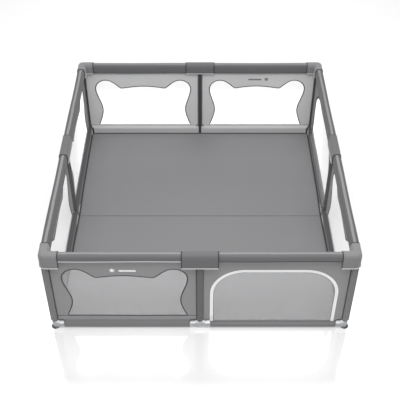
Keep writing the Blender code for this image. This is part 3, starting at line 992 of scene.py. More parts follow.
    def trims(self, place: Place, stations: list[float]) -> tuple[Shape, Shape]:
        """Run piping along a cover's lower edges, its pale colour a painted highlight, and dark
        binding round its ends.
        """
        half = self.cover_half
        edges = [sweep(oval(0.0026, 0.0023, 8, (side * (half + 0.0012), low + 0.0008)), stations,
                       place) for side, low in ((1, self.cover_outside), (-1, self.cover_inside))]
        path = refined(self.cover_section()[:HOOD_POINTS], 0.008, ring=False)
        binds = []
        for end, inward in ((stations[0], 1), (stations[-1], -1)):
            root = place(0, 0, end)
            ahead = (place(0, 0, end + 0.1 * inward) - root).normalized()

            def bend(a: float, b: float, spot: float) -> Vector:
                """Place a binding point: a along the rail, b out of the cover."""
                index = min(int(spot), len(path) - 1)
                before, after = path[max(0, index - 1)], path[min(len(path) - 1, index + 1)]
                rise = Vector((after[1] - before[1], before[0] - after[0])).normalized()
                out, height = path[index]
                base = place(out + (rise.x * (b - 0.0012)), height + rise.y * (b - 0.0012), end)
                return base + ahead * a

            binds.append(sweep(oval(0.0030, 0.0016, 8), list(range(len(path))), bend))
        return joined(*edges), joined(*binds)

    def build_covers(self) -> None:
        """Make the corner and tee covers with their trims."""
        bends = spaced(0, 1, 0.09) + spaced(1, 2, 0.2)[1:] + spaced(2, 3, 0.09)[1:]
        corner = self.padded_cover(self.around_corner, bends)
        for name, (place, turn) in CORNERS.items():
            self.cover(f"corner_cover_{name}", corner, standing(place, turn), self.around_corner,
                       bends)
        run = spaced(-1, 1, 0.07)
        tee = self.padded_cover(self.along_tee, run)
        for side in SIDES:
            self.cover(f"tee_cover_{side.name}", tee, side.matrix, self.along_tee, run)

    def cover(self, node: str, mesh: Mesh, matrix: Matrix, place: Place,
              stations: list[float]) -> None:
        """Make one cover and its trims.

        Args:
            node: the CAD node that it stands for.
            mesh: the cover's mesh on its own axes.
            matrix: the place of those axes.
            place: places a section point.
            stations: the steps along the cover.
        """
        cloth = Finish.SLEEVE if node.startswith("tee") else Finish.COVER
        made = self.shop.piece(f"{node}_pad", mesh.copy(), cloth, "cover_cloth", matrix,
                               replaces=[node], sharp=60)
        light, dark = self.trims(place, stations)
        # The piping's pale colour is a painted highlight.
        self.shop.piece(f"{node}_piping", light, Finish.PIPING, "cover_cloth", matrix)
        self.shop.piece(f"{node}_binding", dark, Finish.BINDING, "cover_cloth", matrix)


# ---------------------------------------------------------------- walls

@dataclass
class Wall:
    """One side's cloth wall: two panels, post channels, hem, windows or a door, and bindings."""

    side: Side
    shop: Workshop
    cloth: float = 0.0016
    low: float = 0.0440
    top: float = 0.589
    foot_height: float = 0.060
    foot_half: float = 0.061
    corner_foot: float = 0.056
    channel: float = 0.0170
    post_gap: float = 0.0155
    window_share: float = 0.4935
    channel_beads: tuple = (
        # the post, as a share of the half side, which side of it, and half the bead's width
        (-1, 1, 0.0052), (0, -1, 0.0046), (0, 1, 0.0022), (1, -1, 0.0052),
    )
    lobe: tuple = (
        # point, then the handles before and after it, all on the front's right half
        ((0.0, 0.447), (-0.07, 0.0), (0.07, 0.0)),
        ((0.166, 0.430), (-0.045, 0.005), (0.022, 0.012)),
        ((0.277, 0.500), (-0.047, 0.0), (0.046, 0.0)),
        ((0.360, 0.420), (0.0, 0.044), (0.0, -0.055)),
        ((0.318, 0.238), (0.0, 0.055), (0.0, -0.045)),
        ((0.358, 0.0985), (-0.018, 0.045), (0.0, 0.0)),
    )

    # -- how the cloth hangs

    def drape(self, x: float, z: float) -> float:
        """Give how far the hung cloth stands off its flat plane; outward is negative."""
        side = self.side
        share = (abs(x) - 0.02) / (side.half - 0.04)
        between = math.sin(math.pi * min(1.0, max(0.0, share))) ** 0.6
        upright = math.sin(math.pi * min(1.0, max(0.0, (z - 0.045) / 0.515))) ** 0.7
        flare = -0.0205 * smooth_step(0.558, 0.585, z)
        calm = 0.12 if side.has_door and x > 0 else 1.0
        phase = side.turn * 0.7 + (3.1 if x > 0 else 0.0)
        slow = (0.0022 * math.sin(7.3 * x + 2.2 * z + phase)
                + 0.0012 * math.sin(17 * x - 6 * z + 2 * phase))
        gather = (0.0009 * math.sin(95 * x + 6 * math.sin(9 * x + phase))
                  * smooth_step(0.46, 0.56, z))
        sag = -0.0018 * smooth_step(0.42, 0.10, z)
        return flare + between * (upright * calm * (slow + sag) + gather * between * (calm + 0.3))

    def hang(self, bm: Shape) -> Shape:
        """Move a flat shape to where the hung cloth is."""
        for vert in bm.verts:
            vert.co.y += self.drape(vert.co.x, vert.co.z)
        return bm

    def add(self, name: str, shape: Shape, finish: Finish, slot: str = "wall_cloth",
            **more: object) -> Thing:
        """Finish a piece of this wall."""
        return self.shop.piece(f"{name}_{self.side.name}", shape, finish, slot, self.side.matrix,
                               **more)

    # -- outlines

    def window(self, sign: int) -> list[Point]:
        """Outline the lobed window on the left (-1) or right (1) half."""
        centre, stretch = sign * self.side.half * self.window_share, self.side.stretch
        half: list[Point] = []
        for (here, _, after), (there, before, _) in zip(self.lobe, self.lobe[1:]):
            first, last = Vector(here), Vector(there)
            curve = interpolate_bezier(first, first + Vector(after), last + Vector(before), last,
                                       11)
            half += [tuple(point) for point in curve[:-1]]
        half.append(self.lobe[-1][0])
        foot, drop, waist = self.side.seam, self.side.window_drop, self.lobe[-2][0][1]
        tall = waist - self.lobe[-1][0][1]

        def moved(z: float) -> float:
            """Lower what is above the waist, and stretch the rest down to the side's seam."""
            if z > waist:
                return z - drop
            return foot + (z - waist + tall) / tall * (waist - drop - foot)

        half = [(x, moved(z)) for x, z in half]
        whole = half + [(-x, z) for x, z in half[:0:-1]]
        return [(centre + x * stretch, z) for x, z in whole]

    def foot_cutouts(self) -> list[list[Point]]:
        """Outline what is cut away round the middle foot and the two corner feet."""
        top, low, round_by = self.foot_height, -0.02, 0.014
        half, corner = self.foot_half, self.side.half - self.corner_foot
        past, centre = self.side.half + 0.05, top - round_by
        middle = [(-half, low), (half, low), *arc((half - round_by, centre), round_by, 0, 90, 5),
                  *arc((round_by - half, centre), round_by, 90, 180, 5)]
        right = [(past, low), (past, top),
                 *arc((corner + round_by, centre), round_by, 90, 180, 5), (corner, low)]
        left = [(-x, z) for x, z in right[::-1]]
        return [left, middle, right]

    # -- cloth

    def build(self) -> None:
        """Make every piece of the wall."""
        side = self.side
        for name, sign in (("left", -1), ("right", 1)):
            door = side.has_door and sign == 1
            low, high = sorted((sign * self.post_gap, sign * (side.half - self.post_gap)))
            hole = Doorway(self).arch(0, low=DOORWAY_HOLE_LOW) if door else self.window(sign)
            panel = Panel((low, self.low), (high, self.top), self.cloth, extra_rows=FLARE_ROWS)
            bm = self.hang(panel.cloth([hole] + self.foot_cutouts()))
            # Painted light and shade: the inside faces take a lighter copy of the wall cloth on the
            # front and back, a darker one on the sides.
            lining = Finish.LIT_INSIDE if side.half == AXIS_X else Finish.SHADED_SIDE_INSIDE
            made = self.add(f"wall_{name}", bm, Finish.WALL, replaces=[f"wall_{side.name}"],
                            recalculate=False, second=lining,
                            where=lambda face: face.normal.y > 0.5)
            if not door:
                self.build_window(name, sign)
                self.build_skirt_seam(name, sign)
        self.build_channels()
        self.build_hems()
        self.build_cutout_bindings()
        if side.has_door:
            Doorway(self).build()

    def ribbon(self, path: Sequence[Point], section: Sequence[Point], loop: bool,
               lift: float = 0.0) -> Shape:
        """Sweep a section along a path on the hung cloth.

        Args:
            path: points on the wall, as X and Z.
            section: the section, as distance sideways in the wall's plane and distance outward.
            loop: whether the path closes.
            lift: how far the whole section is moved outward.

        Returns:
            The swept shape.
        """
        count = len(path)

        def place(a: float, b: float, spot: float) -> Vector:
            """Place a section point at a numbered point of the path."""
            index = int(spot)
            before = path[(index - 1) % count if loop else max(0, index - 1)]
            after = path[(index + 1) % count if loop else min(count - 1, index + 1)]
            way = Vector((after[0] - before[0], after[1] - before[1])).normalized()
            x, z = path[index][0] + way.y * a, path[index][1] - way.x * a
            return Vector((x, self.drape(*path[index]) - b - lift, z))

        return sweep(section, list(range(count)), place, loop=loop)

    def build_window(self, name: str, sign: int) -> None:
        """Make a net window and the binding round it."""
        outline = self.window(sign)
        xs, zs = zip(*outline)
        panel = Panel.around(outline, NET_MARGIN, NET_THICKNESS, NET_CELL)
        bm = self.hang(one_skin(panel.cloth(keep=outline)))
        made = self.add(f"window_net_{name}", bm, Finish.NET, "mesh_cloth", recalculate=False)
        max(xs) - min(xs)
        max(zs) - min(zs)
        bound = self.ribbon(outline, oval(0.0041, 0.0019, 8), loop=True)
        self.add(f"window_binding_{name}", bound, Finish.BINDING)

    def build_skirt_seam(self, name: str, sign: int) -> None:
        """Run the dark seam across a panel at the top of its skirt."""
        ends = sorted((sign * 0.017, sign * (self.side.half - 0.017)))
        path = [(x, self.side.seam - 0.002) for x in spaced(*ends, 0.02)]
        self.add(f"skirt_seam_{name}", self.ribbon(path, oval(0.0026, 0.0017, 8), loop=False),
                 Finish.BINDING)

    def build_channels(self) -> None:
        """Wrap the middle post and one corner post, and bind the channels' edges."""
        half, radius = self.side.half, self.channel
        low, high = self.foot_height - 0.001, 0.566

        def tube(at: float, phase: float) -> Shape:
            """Sweep a channel round a post."""
            def place(a: float, b: float, z: float) -> Vector:
                """Place a channel point, with small creases where the cloth is slack."""
                ease = 1 + 0.022 * math.sin(34 * z + 3 * math.atan2(b, a) + phase)
                return Vector((at + a * ease, b * ease, z))

            ring = sweep(oval(radius, radius, 28), spaced(low, high, 0.014), place, caps=False)
            bmesh.ops.solidify(ring, geom=ring.faces[:], thickness=0.0012)
            return ring

        for name, at in (("post", 0.0), ("corner", half)):
            # The channels' darker cloth is painted shade, darkest at the middle post.
            cloth = Finish.CHANNEL if name == "post" else Finish.CORNER_POST_SHADE
            made = self.add(f"{name}_channel", tube(at, at * 7), cloth)
        beads = []
        for at, lean, thick in self.channel_beads:
            line = at * half + lean * (radius + 0.0012)
            beads.append(sweep(oval(thick, 0.0028, 8), spaced(low, 0.545, 0.03), lambda a, b, z:
                               Vector((line + a, b - 0.0032 + self.drape(line, z), z))))
        corner = self.side.matrix @ Vector((half, 0, 0))
        outward = Vector((math.copysign(1, corner.x), 0.12 * math.copysign(1, corner.y), 0))
        away = (self.side.matrix.to_3x3().transposed() @ outward).normalized()
        rim = Vector((half, 0, 0)) + away * (radius + 0.0020)
        beads.append(sweep(oval(0.0034, 0.0034, 8), spaced(low, 0.528, 0.03),
                           lambda a, b, z: rim + Vector((a, b, z))))
        self.add("post_binding", joined(*beads), Finish.BINDING)
        strips = [self.inner_strip(0.0, 90, 34, low, high),
                  self.inner_strip(half, 135, 24, low, high)]
        self.add("post_lining", joined(*strips), Finish.BINDING)

    def inner_strip(self, at: float, facing: float, spread: float, low: float,
                    high: float) -> Shape:
        """Run a dark tape up the inside of a channel.

        Args:
            at: where the post stands along the side.
            facing: the direction that the tape faces, in degrees.
            spread: how far it reaches to each side of that, in degrees.
            low: its lower end.
            high: its upper end.

        Returns:
            The tape.
        """
        outer = arc((0, 0), self.channel + 0.0017, facing - spread, facing + spread, 8)
        inner = arc((0, 0), self.channel + 0.0009, facing + spread, facing - spread, 8)
        return sweep(outer + inner, spaced(low, high, 0.04),
                     lambda a, b, z: Vector((at + a, b, z)))

    def build_hems(self) -> None:
        """Roll the wall's lower edge round the bottom rail, on both sides of the middle foot."""
        half = self.side.half
        for name, sign in (("left", -1), ("right", 1)):
            near, far = self.foot_half + 0.001, half - self.corner_foot - 0.001
            ends = sorted((sign * near, sign * far))
            phase = self.side.turn + sign
            door = self.side.has_door and sign == 1
            start = 0.0425 if door else 0.058
            shoulder = (0.0390, 0.0355) if door else (0.0500, 0.0405)
            section = [(0.0014, start), (0.0085, shoulder[0]), (0.0155, shoulder[1]), *HEM_ROLL,
                       (-0.0014, start)]
            inner = [(a * 0.92, RAIL_Z + (b - RAIL_Z) * 0.93) for a, b in section]

            def place(a: float, b: float, x: float) -> Vector:
                """Place a hem point, with slow dents along the roll."""
                ease = 1 + 0.014 * math.sin(13 * x + phase) * math.sin(3.5 * x + 90 * b)
                fall = self.drape(x, b) * smooth_step(0.040, start, b)
                return Vector((x, fall - a * ease, b))

            outer, inner = (refined(layer, 0.004, ring=False) for layer in (section, inner))
            bm = sweep(outer + inner[::-1], spaced(*ends, 0.016), place)
            # The hem's darker cloth is painted shade where the cloth curves under the rail.
            made = self.add(f"hem_{name}", bm, Finish.HEM_SHADE)
            length = sum(math.dist(a, b) for a, b in zip(section, section[1:]))

    def build_cutout_bindings(self) -> None:
        """Bind the cut edges round the feet, each down to a little below the cut's start."""
        low, top, reach = 0.0405, self.foot_height, self.side.half - 0.018
        left, middle, right = ([(x, z) for x, z in outline if z > 0 and abs(x) < self.side.half]
                               for outline in self.foot_cutouts())
        paths = ([(left[0][0], low), *left, (-reach, top)],
                 [(middle[0][0], low), *middle, (middle[-1][0], low)],
                 [(reach, top), *right, (right[-1][0], low)])
        beads = [self.ribbon(path, oval(0.0026, 0.0020, 8), loop=False) for path in paths]
        self.add("foot_binding", joined(*beads), Finish.BINDING)


@dataclass
class Doorway:
    """A zipped doorway in the right half of a wall, with its fold-down net flap."""

    wall: Wall
    bottom: float = 0.0445
    top: float = 0.475
    radius: float = 0.180
    width_share: float = 0.8095
    half_band: float = 0.0095
    face: float = 0.0011
    inset: float = 0.001

    def arch(self, out: float, low: float | None = None) -> list[Point]:
        """Outline the arch, moved outward by a distance, from the lower left up and round."""
        half = self.wall.side.half
        middle, reach = half * self.wall.window_share, half * self.width_share / 2 + out
        top, radius = self.top + out, self.radius + out
        low = self.bottom if low is None else low
        left, right = middle - reach, middle + reach
        rise = spaced(low, top - radius, 0.03)[:-1]
        return ([(left, z) for z in rise]
                + arc((left + radius, top - radius), radius, 180, 90, 14)
                + [(x, top) for x in spaced(left + radius, right - radius, 0.03)[1:-1]]
                + arc((right - radius, top - radius), radius, 90, 0, 14)
                + [(right, z) for z in rise[::-1]])

    def trim(self, name: str, out: float, section: Sequence[Point], finish: Finish,
             low: float | None = None, lift: float = 0.0, sharp: float = 30.0,
             **more: object) -> None:
        """Run a tape or a coil along the arch.

        Args:
            name: the piece's name.
            out: how far it is moved outward from the arch.
            section: its section.
            finish: its finish.
            low: where it starts, if not at the doorway's bottom.
            lift: how far it stands off the cloth.
            sharp: the angle past which its edges are drawn sharp.
            more: what Wall.add takes.
        """
        shape = self.wall.ribbon(self.arch(out, low), section, loop=False, lift=lift)
        self.wall.add(name, shape, finish, sharp=sharp, **more)

    def build(self) -> None:
        """Make the zip's two halves and the flap."""
        wall, face, band, inset = self.wall, self.face, self.half_band, self.inset
        node = f"door_{wall.side.name}"
        outline = self.arch(-inset, self.bottom + inset)
        xs = [p[0] for p in outline]
        low = self.bottom + inset
        coil = oval(0.0008, 0.0007, 6)
        self.trim("zip_tape", 1.5 * band, slab(0.0003 - band / 2, band / 2, 0, 0.0007),
                  Finish.TAPE, lift=face)
        self.trim("zip_teeth", band + 0.0009, coil, Finish.COIL, lift=face + 0.0006, sharp=40,
                  slot="zip_metal")
        panel = Panel((min(xs) - NET_MARGIN, DOORWAY_HOLE_LOW),
                      (max(xs) + NET_MARGIN, self.top + NET_MARGIN), NET_THICKNESS, NET_CELL)
        made = wall.add("door_net", wall.hang(one_skin(panel.cloth(keep=outline))), Finish.NET,
                        "mesh_cloth", body=node, replaces=[node], recalculate=False)
        flap = {"body": node, "slot": "mesh_cloth"}
        self.trim("door_tape", 0.5 * band, slab(-band / 2 - 0.0015, band / 2 - 0.0003, 0, 0.0007),
                  Finish.TAPE, low, face, **flap)
        self.trim("door_teeth", band - 0.0009, coil, Finish.COIL, low + 0.006, face + 0.0006,
                  body=node, slot="zip_metal", sharp=40)
        self.trim("door_facing", -inset - 0.002, slab(-0.0085, 0.0015, -0.0007, 0),
                  Finish.BINDING, low, -0.0004, **flap)
        fold = [(x, low + 0.0022) for x in spaced(min(xs) + 0.001, max(xs) - 0.001, 0.02)]
        wall.add("door_fold", wall.ribbon(fold, oval(0.0022, 0.0013, 8), loop=False),
                 Finish.SEAM, **flap)
        self.trim("doorway_facing", 0.010, [(-0.005, -0.0009), (-0.005, -0.0018), (0.007, -0.0018),
                                            (0.007, -0.0009)], Finish.BINDING)


# ---------------------------------------------------------------- floor, feet, marks

@dataclass
class FloorCloth:
    """The sewn floor: one cloth with a cross seam and a bound edge."""

    shop: Workshop
    thickness: float = 0.0016
    cell: float = 0.03
    nip: float = 0.005
    nip_reach: float = 0.30
    edge_steps: int = 40

    def edge_pull(self, x: float, y: float) -> Vector:
        """Give how far the cloth is drawn in towards the middle beside the middle feet."""
        near_foot = smooth_step(self.nip_reach, 0, abs(y))
        near_edge = smooth_step(FLOOR_HIGH.x - 0.12, FLOOR_HIGH.x, abs(x))
        return Vector((-math.copysign(self.nip, x) * near_foot * near_edge, 0, 0))

    def swell(self, x: float, y: float) -> float:
        """Give the cloth's height off the ground, where it lies in slack waves."""
        edge = smooth_step(0, 0.12, min(FLOOR_HIGH.x - abs(x), FLOOR_HIGH.y - abs(y)))
        seam = smooth_step(0.0, 0.05, abs(y))
        wave = (math.sin(5.1 * x + 1.9 * y) * math.sin(4.3 * y - 1.7 * x)
                + 0.4 * math.sin(13 * x + 8 * y))
        return 0.0006 + 0.0014 * edge * seam * (1 + 0.7 * wave)

    def build(self) -> None:
        """Make the floor, its seam and its edge."""
        wide, deep = FLOOR_HIGH.x, FLOOR_HIGH.y
        bm = bmesh.new()
        bmesh.ops.create_grid(bm, x_segments=round(2 * wide / self.cell),
                              y_segments=round(2 * deep / self.cell), size=0.5,
                              matrix=Matrix.Diagonal((2 * wide, 2 * deep, 1, 1)))
        uv = bm.loops.layers.uv.new(CLOTH_UV)
        for face in bm.faces:
            for corner in face.loops:
                corner[uv].uv = corner.vert.co.xy
        for vert in bm.verts:
            x, y = vert.co.xy
            vert.co += self.edge_pull(x, y)
            vert.co.z = self.swell(x, y)
        bmesh.ops.recalc_face_normals(bm, faces=bm.faces[:])
        bmesh.ops.solidify(bm, geom=bm.faces[:], thickness=-self.thickness)
        lowest = min(v.co.z for v in bm.verts)
        bmesh.ops.translate(bm, vec=(0, 0, 0.0002 - lowest), verts=bm.verts[:])
        made = self.shop.piece("floor_cloth", bm, Finish.FLOOR, "floor_cloth",
                               replaces=["floor_panel"])
        top = 0.0030
        reach = wide - self.nip - 0.002
        run = spaced(-reach, reach, 0.03)
        ridge = [(-0.006, -0.0012), (-0.006, 0.0002), (-0.001, 0.0008), (0.001, 0.0008),
                 (0.006, 0.0002), (0.006, -0.0012)]
        seam = sweep(ridge, run, lambda a, b, x: Vector((x, a, top + b)))
        self.shop.piece("floor_seam", seam, Finish.FLOOR, "floor_cloth", sharp=30)
        groove = sweep(oval(0.0012, 0.0006, 6), run,
                       lambda a, b, x: Vector((x, a - 0.0045, top + 0.0004 + b)))
        self.shop.piece("floor_seam_stitching", groove, Finish.BINDING, "floor_cloth")
        path = self.edge_path()

        def place(a: float, b: float, spot: int) -> Vector:
            """Place an edge binding point."""
            before, after = Vector(path[spot - 1]), Vector(path[(spot + 1) % len(path)])
            way = (after - before).normalized()
            flat = Vector(path[spot]) + Vector((way.y, -way.x)) * a
            return Vector((flat.x, flat.y, 0.0032 + b))

        edge = sweep(oval(0.0055, 0.0026, 8), list(range(len(path))), place, loop=True)
        self.shop.piece("floor_binding", edge, Finish.BINDING, "floor_cloth")

    def edge_path(self) -> list[Point]:
        """List points round the floor's edge, a little inside it."""
        wide, deep, inset = FLOOR_HIGH.x, FLOOR_HIGH.y, 0.006
        low_left = Vector((-wide, -deep))
        corners = [low_left, Vector((wide, -deep)), Vector((wide, deep)), Vector((-wide, deep))]
        path: list[Point] = []
        for here, there in zip(corners, corners[1:] + corners[:1]):
            for step in range(self.edge_steps):
                x, y = here.lerp(there, step / self.edge_steps)
                pull = self.edge_pull(x, y)
                path.append((x + pull.x - math.copysign(inset, x) * (abs(x) > wide - 1e-6),
                             y + pull.y - math.copysign(inset, y) * (abs(y) > deep - 1e-6)))
        return path


@dataclass
class InnerSkirt:
    """The cloth band inside the walls' feet, from the floor's edge up to the skirt seam."""

    shop: Workshop
    floor: FloorCloth
    stand_off: float = 0.0197
    thickness: float = 0.0011
    round_by: float = 0.045
    low: float = 0.0036
    door_high: float = 0.0365

    def height(self, side: Side, x: float) -> float:
        """Give the band's upper edge: low under a doorway, high elsewhere."""
        usual = SIDES[-1].seam - 0.001
        past_corner = smooth_step(side.half - 0.07, side.half - 0.12, abs(x))
        high = usual + (side.seam - 0.001 - usual) * past_corner
        if not side.has_door:
            return high
        under = smooth_step(0.024, 0.064, x) * smooth_step(side.half - 0.066, side.half - 0.088, x)
        return high + (self.door_high - high) * under

    def inset(self, side: Side, x: float, z: float) -> float:
        """Give the band's distance inside the side's line, which closes on the wall as it rises."""
        free = smooth_step(0.019, 0.032, abs(x))
        lean = (self.stand_off - 0.0022) * smooth_step(0.046, side.seam - 0.001, z) * free
        nip = 0.0
        if side.half == AXIS_Y:
            near_foot = smooth_step(self.floor.nip_reach, 0, abs(x))
            nip = self.floor.nip * near_foot * smooth_step(0.08, 0.0, z)
        return self.stand_off - lean + nip

    def stations(self) -> list[tuple[Side, float, float]]:
        """List the stops round the pen: a side, a place along it, and a turn in degrees."""
        stops = []
        for side in SIDES:
            reach = side.half - self.stand_off - self.round_by
            stops += [(side, x, 0.0) for x in spaced(-reach, reach, 0.018)]
            stops += [(side, reach, turn) for turn in (15.0, 30.0, 45.0, 60.0, 75.0)]
        return stops

    def build(self) -> None:
        """Make the band and the dark tapes on it at the middle posts."""
        steps = 14
        levels = [i / steps for i in range(steps + 1)]
        section = ([(0.0, share) for share in levels]
                   + [(self.thickness, share) for share in levels[::-1]])

        def place(deep: float, share: float, stop: tuple[Side, float, float]) -> Vector:
            """Place a band point."""
            side, x, turn = stop
            z = self.low + (self.height(side, x) - self.low) * share
            if turn:
                return side.matrix @ self.corner_point(side, turn, z, deep)
            return side.matrix @ Vector((x, self.inset(side, x, z) + deep, z))

        bm = sweep(section, self.stations(), place, loop=True)
        # Painted light and shade: the band is lighter on the front and back and darker on the
        # sides.
        made = self.shop.piece(
            "inner_skirt", bm, Finish.LIT_BAND, "wall_cloth", second=Finish.SIDE_BAND_SHADE,
            where=lambda face: abs(face.calc_center_median().x) > AXIS_X - 0.024)
        for side in SIDES:
            top = side.seam + 0.004
            tape = sweep([(-0.0105, 0.0), (0.0105, 0.0), (0.0105, 0.0008), (-0.0105, 0.0008)],
                         spaced(self.low, top, 0.008), lambda a, b, z:
                         Vector((a, self.inset(side, 0.0, z) + self.thickness + b, z)))
            corner = sweep([(-0.0060, 0.0), (0.0, 0.0), (0.0060, 0.0), (0.0060, 0.0008),
                            (0.0, 0.0008), (-0.0060, 0.0008)],
                           spaced(self.low, SIDES[-1].seam + 0.002, 0.004),
                           lambda a, b, z: self.at_corner(side, a, b, z))
            self.shop.piece(f"skirt_tape_{side.name}", joined(tape, corner), Finish.BINDING,
                            "wall_cloth", side.matrix, sharp=30)

    def corner_point(self, side: Side, turn: float, z: float, deep: float) -> Vector:
        """Place a point of the band where it rounds the corner at a side's right end.

        Args:
            side: the side, on whose axes the point is given.
            turn: how far round the corner it is, in degrees.
            z: its height.
            deep: its distance inside the band's outer face.

        Returns:
            The point: wide of the foot below, and closed on the post's channel above.
        """
        spin, reach = math.radians(turn), self.round_by - deep
        knee = self.stand_off + self.round_by
        low = Vector((side.half - knee + reach * math.sin(spin), knee - reach * math.cos(spin), z))
        hug, near = 0.0205 + deep, 0.0030 + deep
        high = Vector((side.half - max(near, hug * math.cos(spin)),
                       max(near, hug * math.sin(spin)), z))
        return low.lerp(high, smooth_step(0.0505, SIDES[-1].seam - 0.001, z))

    def at_corner(self, side: Side, a: float, b: float, z: float) -> Vector:
        """Place a point of the tape that runs up the band in the corner at a side's right end."""
        turn = 45 + math.degrees(a / self.round_by) * 1.6
        return self.corner_point(side, turn, z, self.thickness + b)


@dataclass
class Feet:
    """The moulded feet, with softened edges, and the finishes of the parts left as they are."""

    shop: Workshop
    rounding: float = 0.0016
    rib_width: float = 0.0024
    rib_length: float = 0.024
    rib_pitch: float = 0.0094
    rib_face: float = 0.0172
    rib_height: float = 0.0245

    def build(self) -> None:
        """Finish the feet, cups, tubes, hubs and zip pieces."""
        for node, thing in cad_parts.items():
            if "_foot_" in node:
                self.soften(node, thing)
        plain = {"suction_cup": Finish.CUP, "rail": Finish.STEEL, "post": Finish.STEEL,
                 "hub": Finish.HUB, "zip": Finish.ZIP}
        for node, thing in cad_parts.items():
            for word, finish in plain.items():
                if word in node and not thing.hide_render:
                    thing.data.materials.clear()
                    thing.data.materials.append(finish.material)

    def soften(self, node: str, thing: Thing) -> None:
        """Copy a foot from the frame, and round its edges."""
        bm = as_shape(thing.data)
        bmesh.ops.remove_doubles(bm, verts=bm.verts[:], dist=1e-5)
        bmesh.ops.dissolve_limit(bm, angle_limit=math.radians(2), verts=bm.verts[:],
                                 edges=bm.edges[:])
        sharp = [edge for edge in bm.edges if len(edge.link_faces) == 2
                 and edge.calc_face_angle(0) > math.radians(50)]
        bmesh.ops.bevel(bm, geom=sharp, offset=self.rounding, offset_type="OFFSET", segments=2,
                        profile=0.5, affect="EDGES", material=-1, clamp_overlap=True)
        # The upward faces take a paler plastic: a painted highlight on the tops of the feet.
        self.shop.piece(f"{node}_moulded", bm, Finish.FOOT, "foot_plastic", replaces=[node],
                        sharp=35, second=Finish.FOOT_HIGHLIGHT, where=lambda face: face.normal.z > 0.8)
        corner = next((spot for name, spot in CORNERS.items() if node.endswith(name)), None)
        face = Vector((0, -self.rib_face, self.rib_height))
        if corner:
            matrix = standing(*corner)
            arms = [(face, Vector((-1, 0, 0)), (3, 4, 5)),
                    (Vector((self.rib_face, 0, self.rib_height)), Vector((0, 1, 0)), (3, 4, 5))]
        else:
            matrix = next(side.matrix for side in SIDES if node.endswith(side.name))
            arms = [(face, Vector((1, 0, 0)), (-5, -4, -3, 3, 4, 5))]
        ribs = bmesh.new()
        for face, way, steps in arms:
            for step in steps:
                thin = Matrix.Diagonal((self.rib_width, self.rib_width, self.rib_length, 1))
                spot = Matrix.Translation(face + way * (self.rib_pitch * step))
                bmesh.ops.create_cube(ribs, size=1, matrix=spot @ thin)
        bmesh.ops.bevel(ribs, geom=ribs.edges[:], offset=0.0004, offset_type="OFFSET", segments=1,
                        profile=0.5, affect="EDGES", material=-1)
        self.shop.piece(f"{node}_ribs", ribs, Finish.FOOT, "foot_plastic", matrix, sharp=30)


@dataclass
class Marks:
    """Plain generic marks where the pen carries its maker's: a star and a bar."""

    shop: Workshop
    depth: float = 0.0005

    def star(self, centre: Point, radius: float) -> list[Point]:
        """Outline a blunt five-pointed star."""
        points = []
        for step in range(10):
            reach = radius if step % 2 == 0 else radius * 0.52
            turn = math.radians(90 + 36 * step)
            points.append((centre[0] + reach * math.cos(turn), centre[1] + reach * math.sin(turn)))
        return points

    def bar(self, centre: Point, half: float, radius: float) -> list[Point]:
        """Outline a bar with round ends."""
        x, z = centre
        return (arc((x + half - radius, z), radius, -90, 90, 8)
                + arc((x - half + radius, z), radius, 90, 270, 8))

    def build(self, wall: Wall, name: str, outlines: list[list[Point]], finish: Finish,
              outside: bool = True) -> None:
        """Lay outlines on a wall's outside or inside as one thin print."""
        parts = []
        for outline in outlines:
            parts.append(Panel.around(outline, 0.002, self.depth, 0.006).cloth(keep=outline))
        bm = joined(*parts)
        off = (wall.cloth / 2 + self.depth / 2 - 0.0001) * (-1 if outside else 1)
        bmesh.ops.translate(bm, vec=(0, off, 0), verts=bm.verts[:])
        wall.add(name, wall.hang(bm), finish, recalculate=False, sharp=30)


# ---------------------------------------------------------------- studio

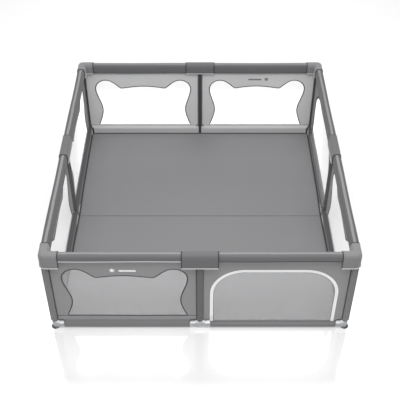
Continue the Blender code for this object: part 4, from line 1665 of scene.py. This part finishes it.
@dataclass(frozen=True)
class Studio:
    """A pale glossy floor, soft lights and the camera."""

    eye: tuple[float, float, float] = (0.0, -3.962, 3.720)
    pitch: float = 42.04
    lens: float = 69.97

    def area(self, name: str, place: tuple, aim: tuple, size: tuple, power: float,
             spread: float = 180.0) -> None:
        """Add one soft light.

        Args:
            name: the light's name.
            place: where it hangs.
            aim: the point that it faces.
            size: its width and height.
            power: its power in watts.
            spread: how wide it shines, in degrees.
        """
        light = bpy.data.lights.new(name, "AREA")
        light.shape, light.size, light.size_y = "RECTANGLE", *size
        light.energy, light.spread = power, math.radians(spread)
        lamp = bpy.data.objects.new(name, light)
        lamp.location = place
        lamp.rotation_euler = (Vector(aim) - Vector(place)).to_track_quat("-Z", "Y").to_euler()
        bpy.context.scene.collection.objects.link(lamp)

    def build(self) -> None:
        """Set up the room, the lights and the camera."""
        scene = bpy.context.scene
        scene.view_settings.view_transform = "Standard"
        world = bpy.data.worlds.new("studio")
        scene.world = world
        world.use_nodes = True
        world.node_tree.nodes["Background"].inputs["Color"].default_value = (1, 1, 1, 1)
        world.node_tree.nodes["Background"].inputs["Strength"].default_value = 0.62
        bm = bmesh.new()
        bmesh.ops.create_grid(bm, x_segments=1, y_segments=1, size=12)
        mesh = as_mesh(bm, "ground")
        recipe = Recipe("white studio floor")
        recipe.finish(base_color=(0.86, 0.86, 0.86, 1), roughness=0.10, metallic=0.46,
                      emission_color=(1, 1, 1, 1), emission_strength=0.25)
        mesh.materials.append(recipe.material)
        ground = bpy.data.objects.new("ground", mesh)
        ground.location.z = -0.0005
        scene.collection.objects.link(ground)
        self.area("key", (0.0, -1.7, 3.5), (0, 0.9, 0.3), (2.2, 1.4), 96)
        self.area("top", (0.0, 0.8, 4.2), (0, 0.5, 0), (4.0, 4.0), 66)
        self.area("back_fill", (0.0, 3.6, 2.4), (0, 0, 0.3), (3.0, 1.6), 30)
        camera = bpy.data.cameras.new("camera")
        camera.lens, camera.sensor_width = self.lens, 36
        camera.clip_start, camera.clip_end = 0.1, 60
        eye = bpy.data.objects.new("camera", camera)
        eye.location = self.eye
        eye.rotation_euler = (math.radians(90 - self.pitch), 0, 0)
        scene.collection.objects.link(eye)
        scene.camera = eye


def main() -> None:
    """Build the pen's looks in order."""
    logging.basicConfig(level=logging.INFO, format="%(name)s: %(message)s")
    Studio().build()
    shop = Workshop()
    walls = {side.name: Wall(side, shop) for side in SIDES}
    for wall in walls.values():
        wall.build()
    PaddedTop(shop).build_sleeves()
    PaddedTop(shop).build_covers()
    floor = FloorCloth(shop)
    floor.build()
    InnerSkirt(shop, floor).build()
    Feet(shop).build()
    marks = Marks(shop)
    shapes = [marks.star((-0.497, 0.490), 0.019), marks.bar((-0.411, 0.487), 0.050, 0.0065)]
    marks.build(walls["front"], "mark", shapes, Finish.PRINT)
    marks.build(walls["back"], "mark", shapes, Finish.DARK_PRINT, outside=False)
    LOG.info("%d pieces", shop.count)


if __name__ == "__main__":
    main()
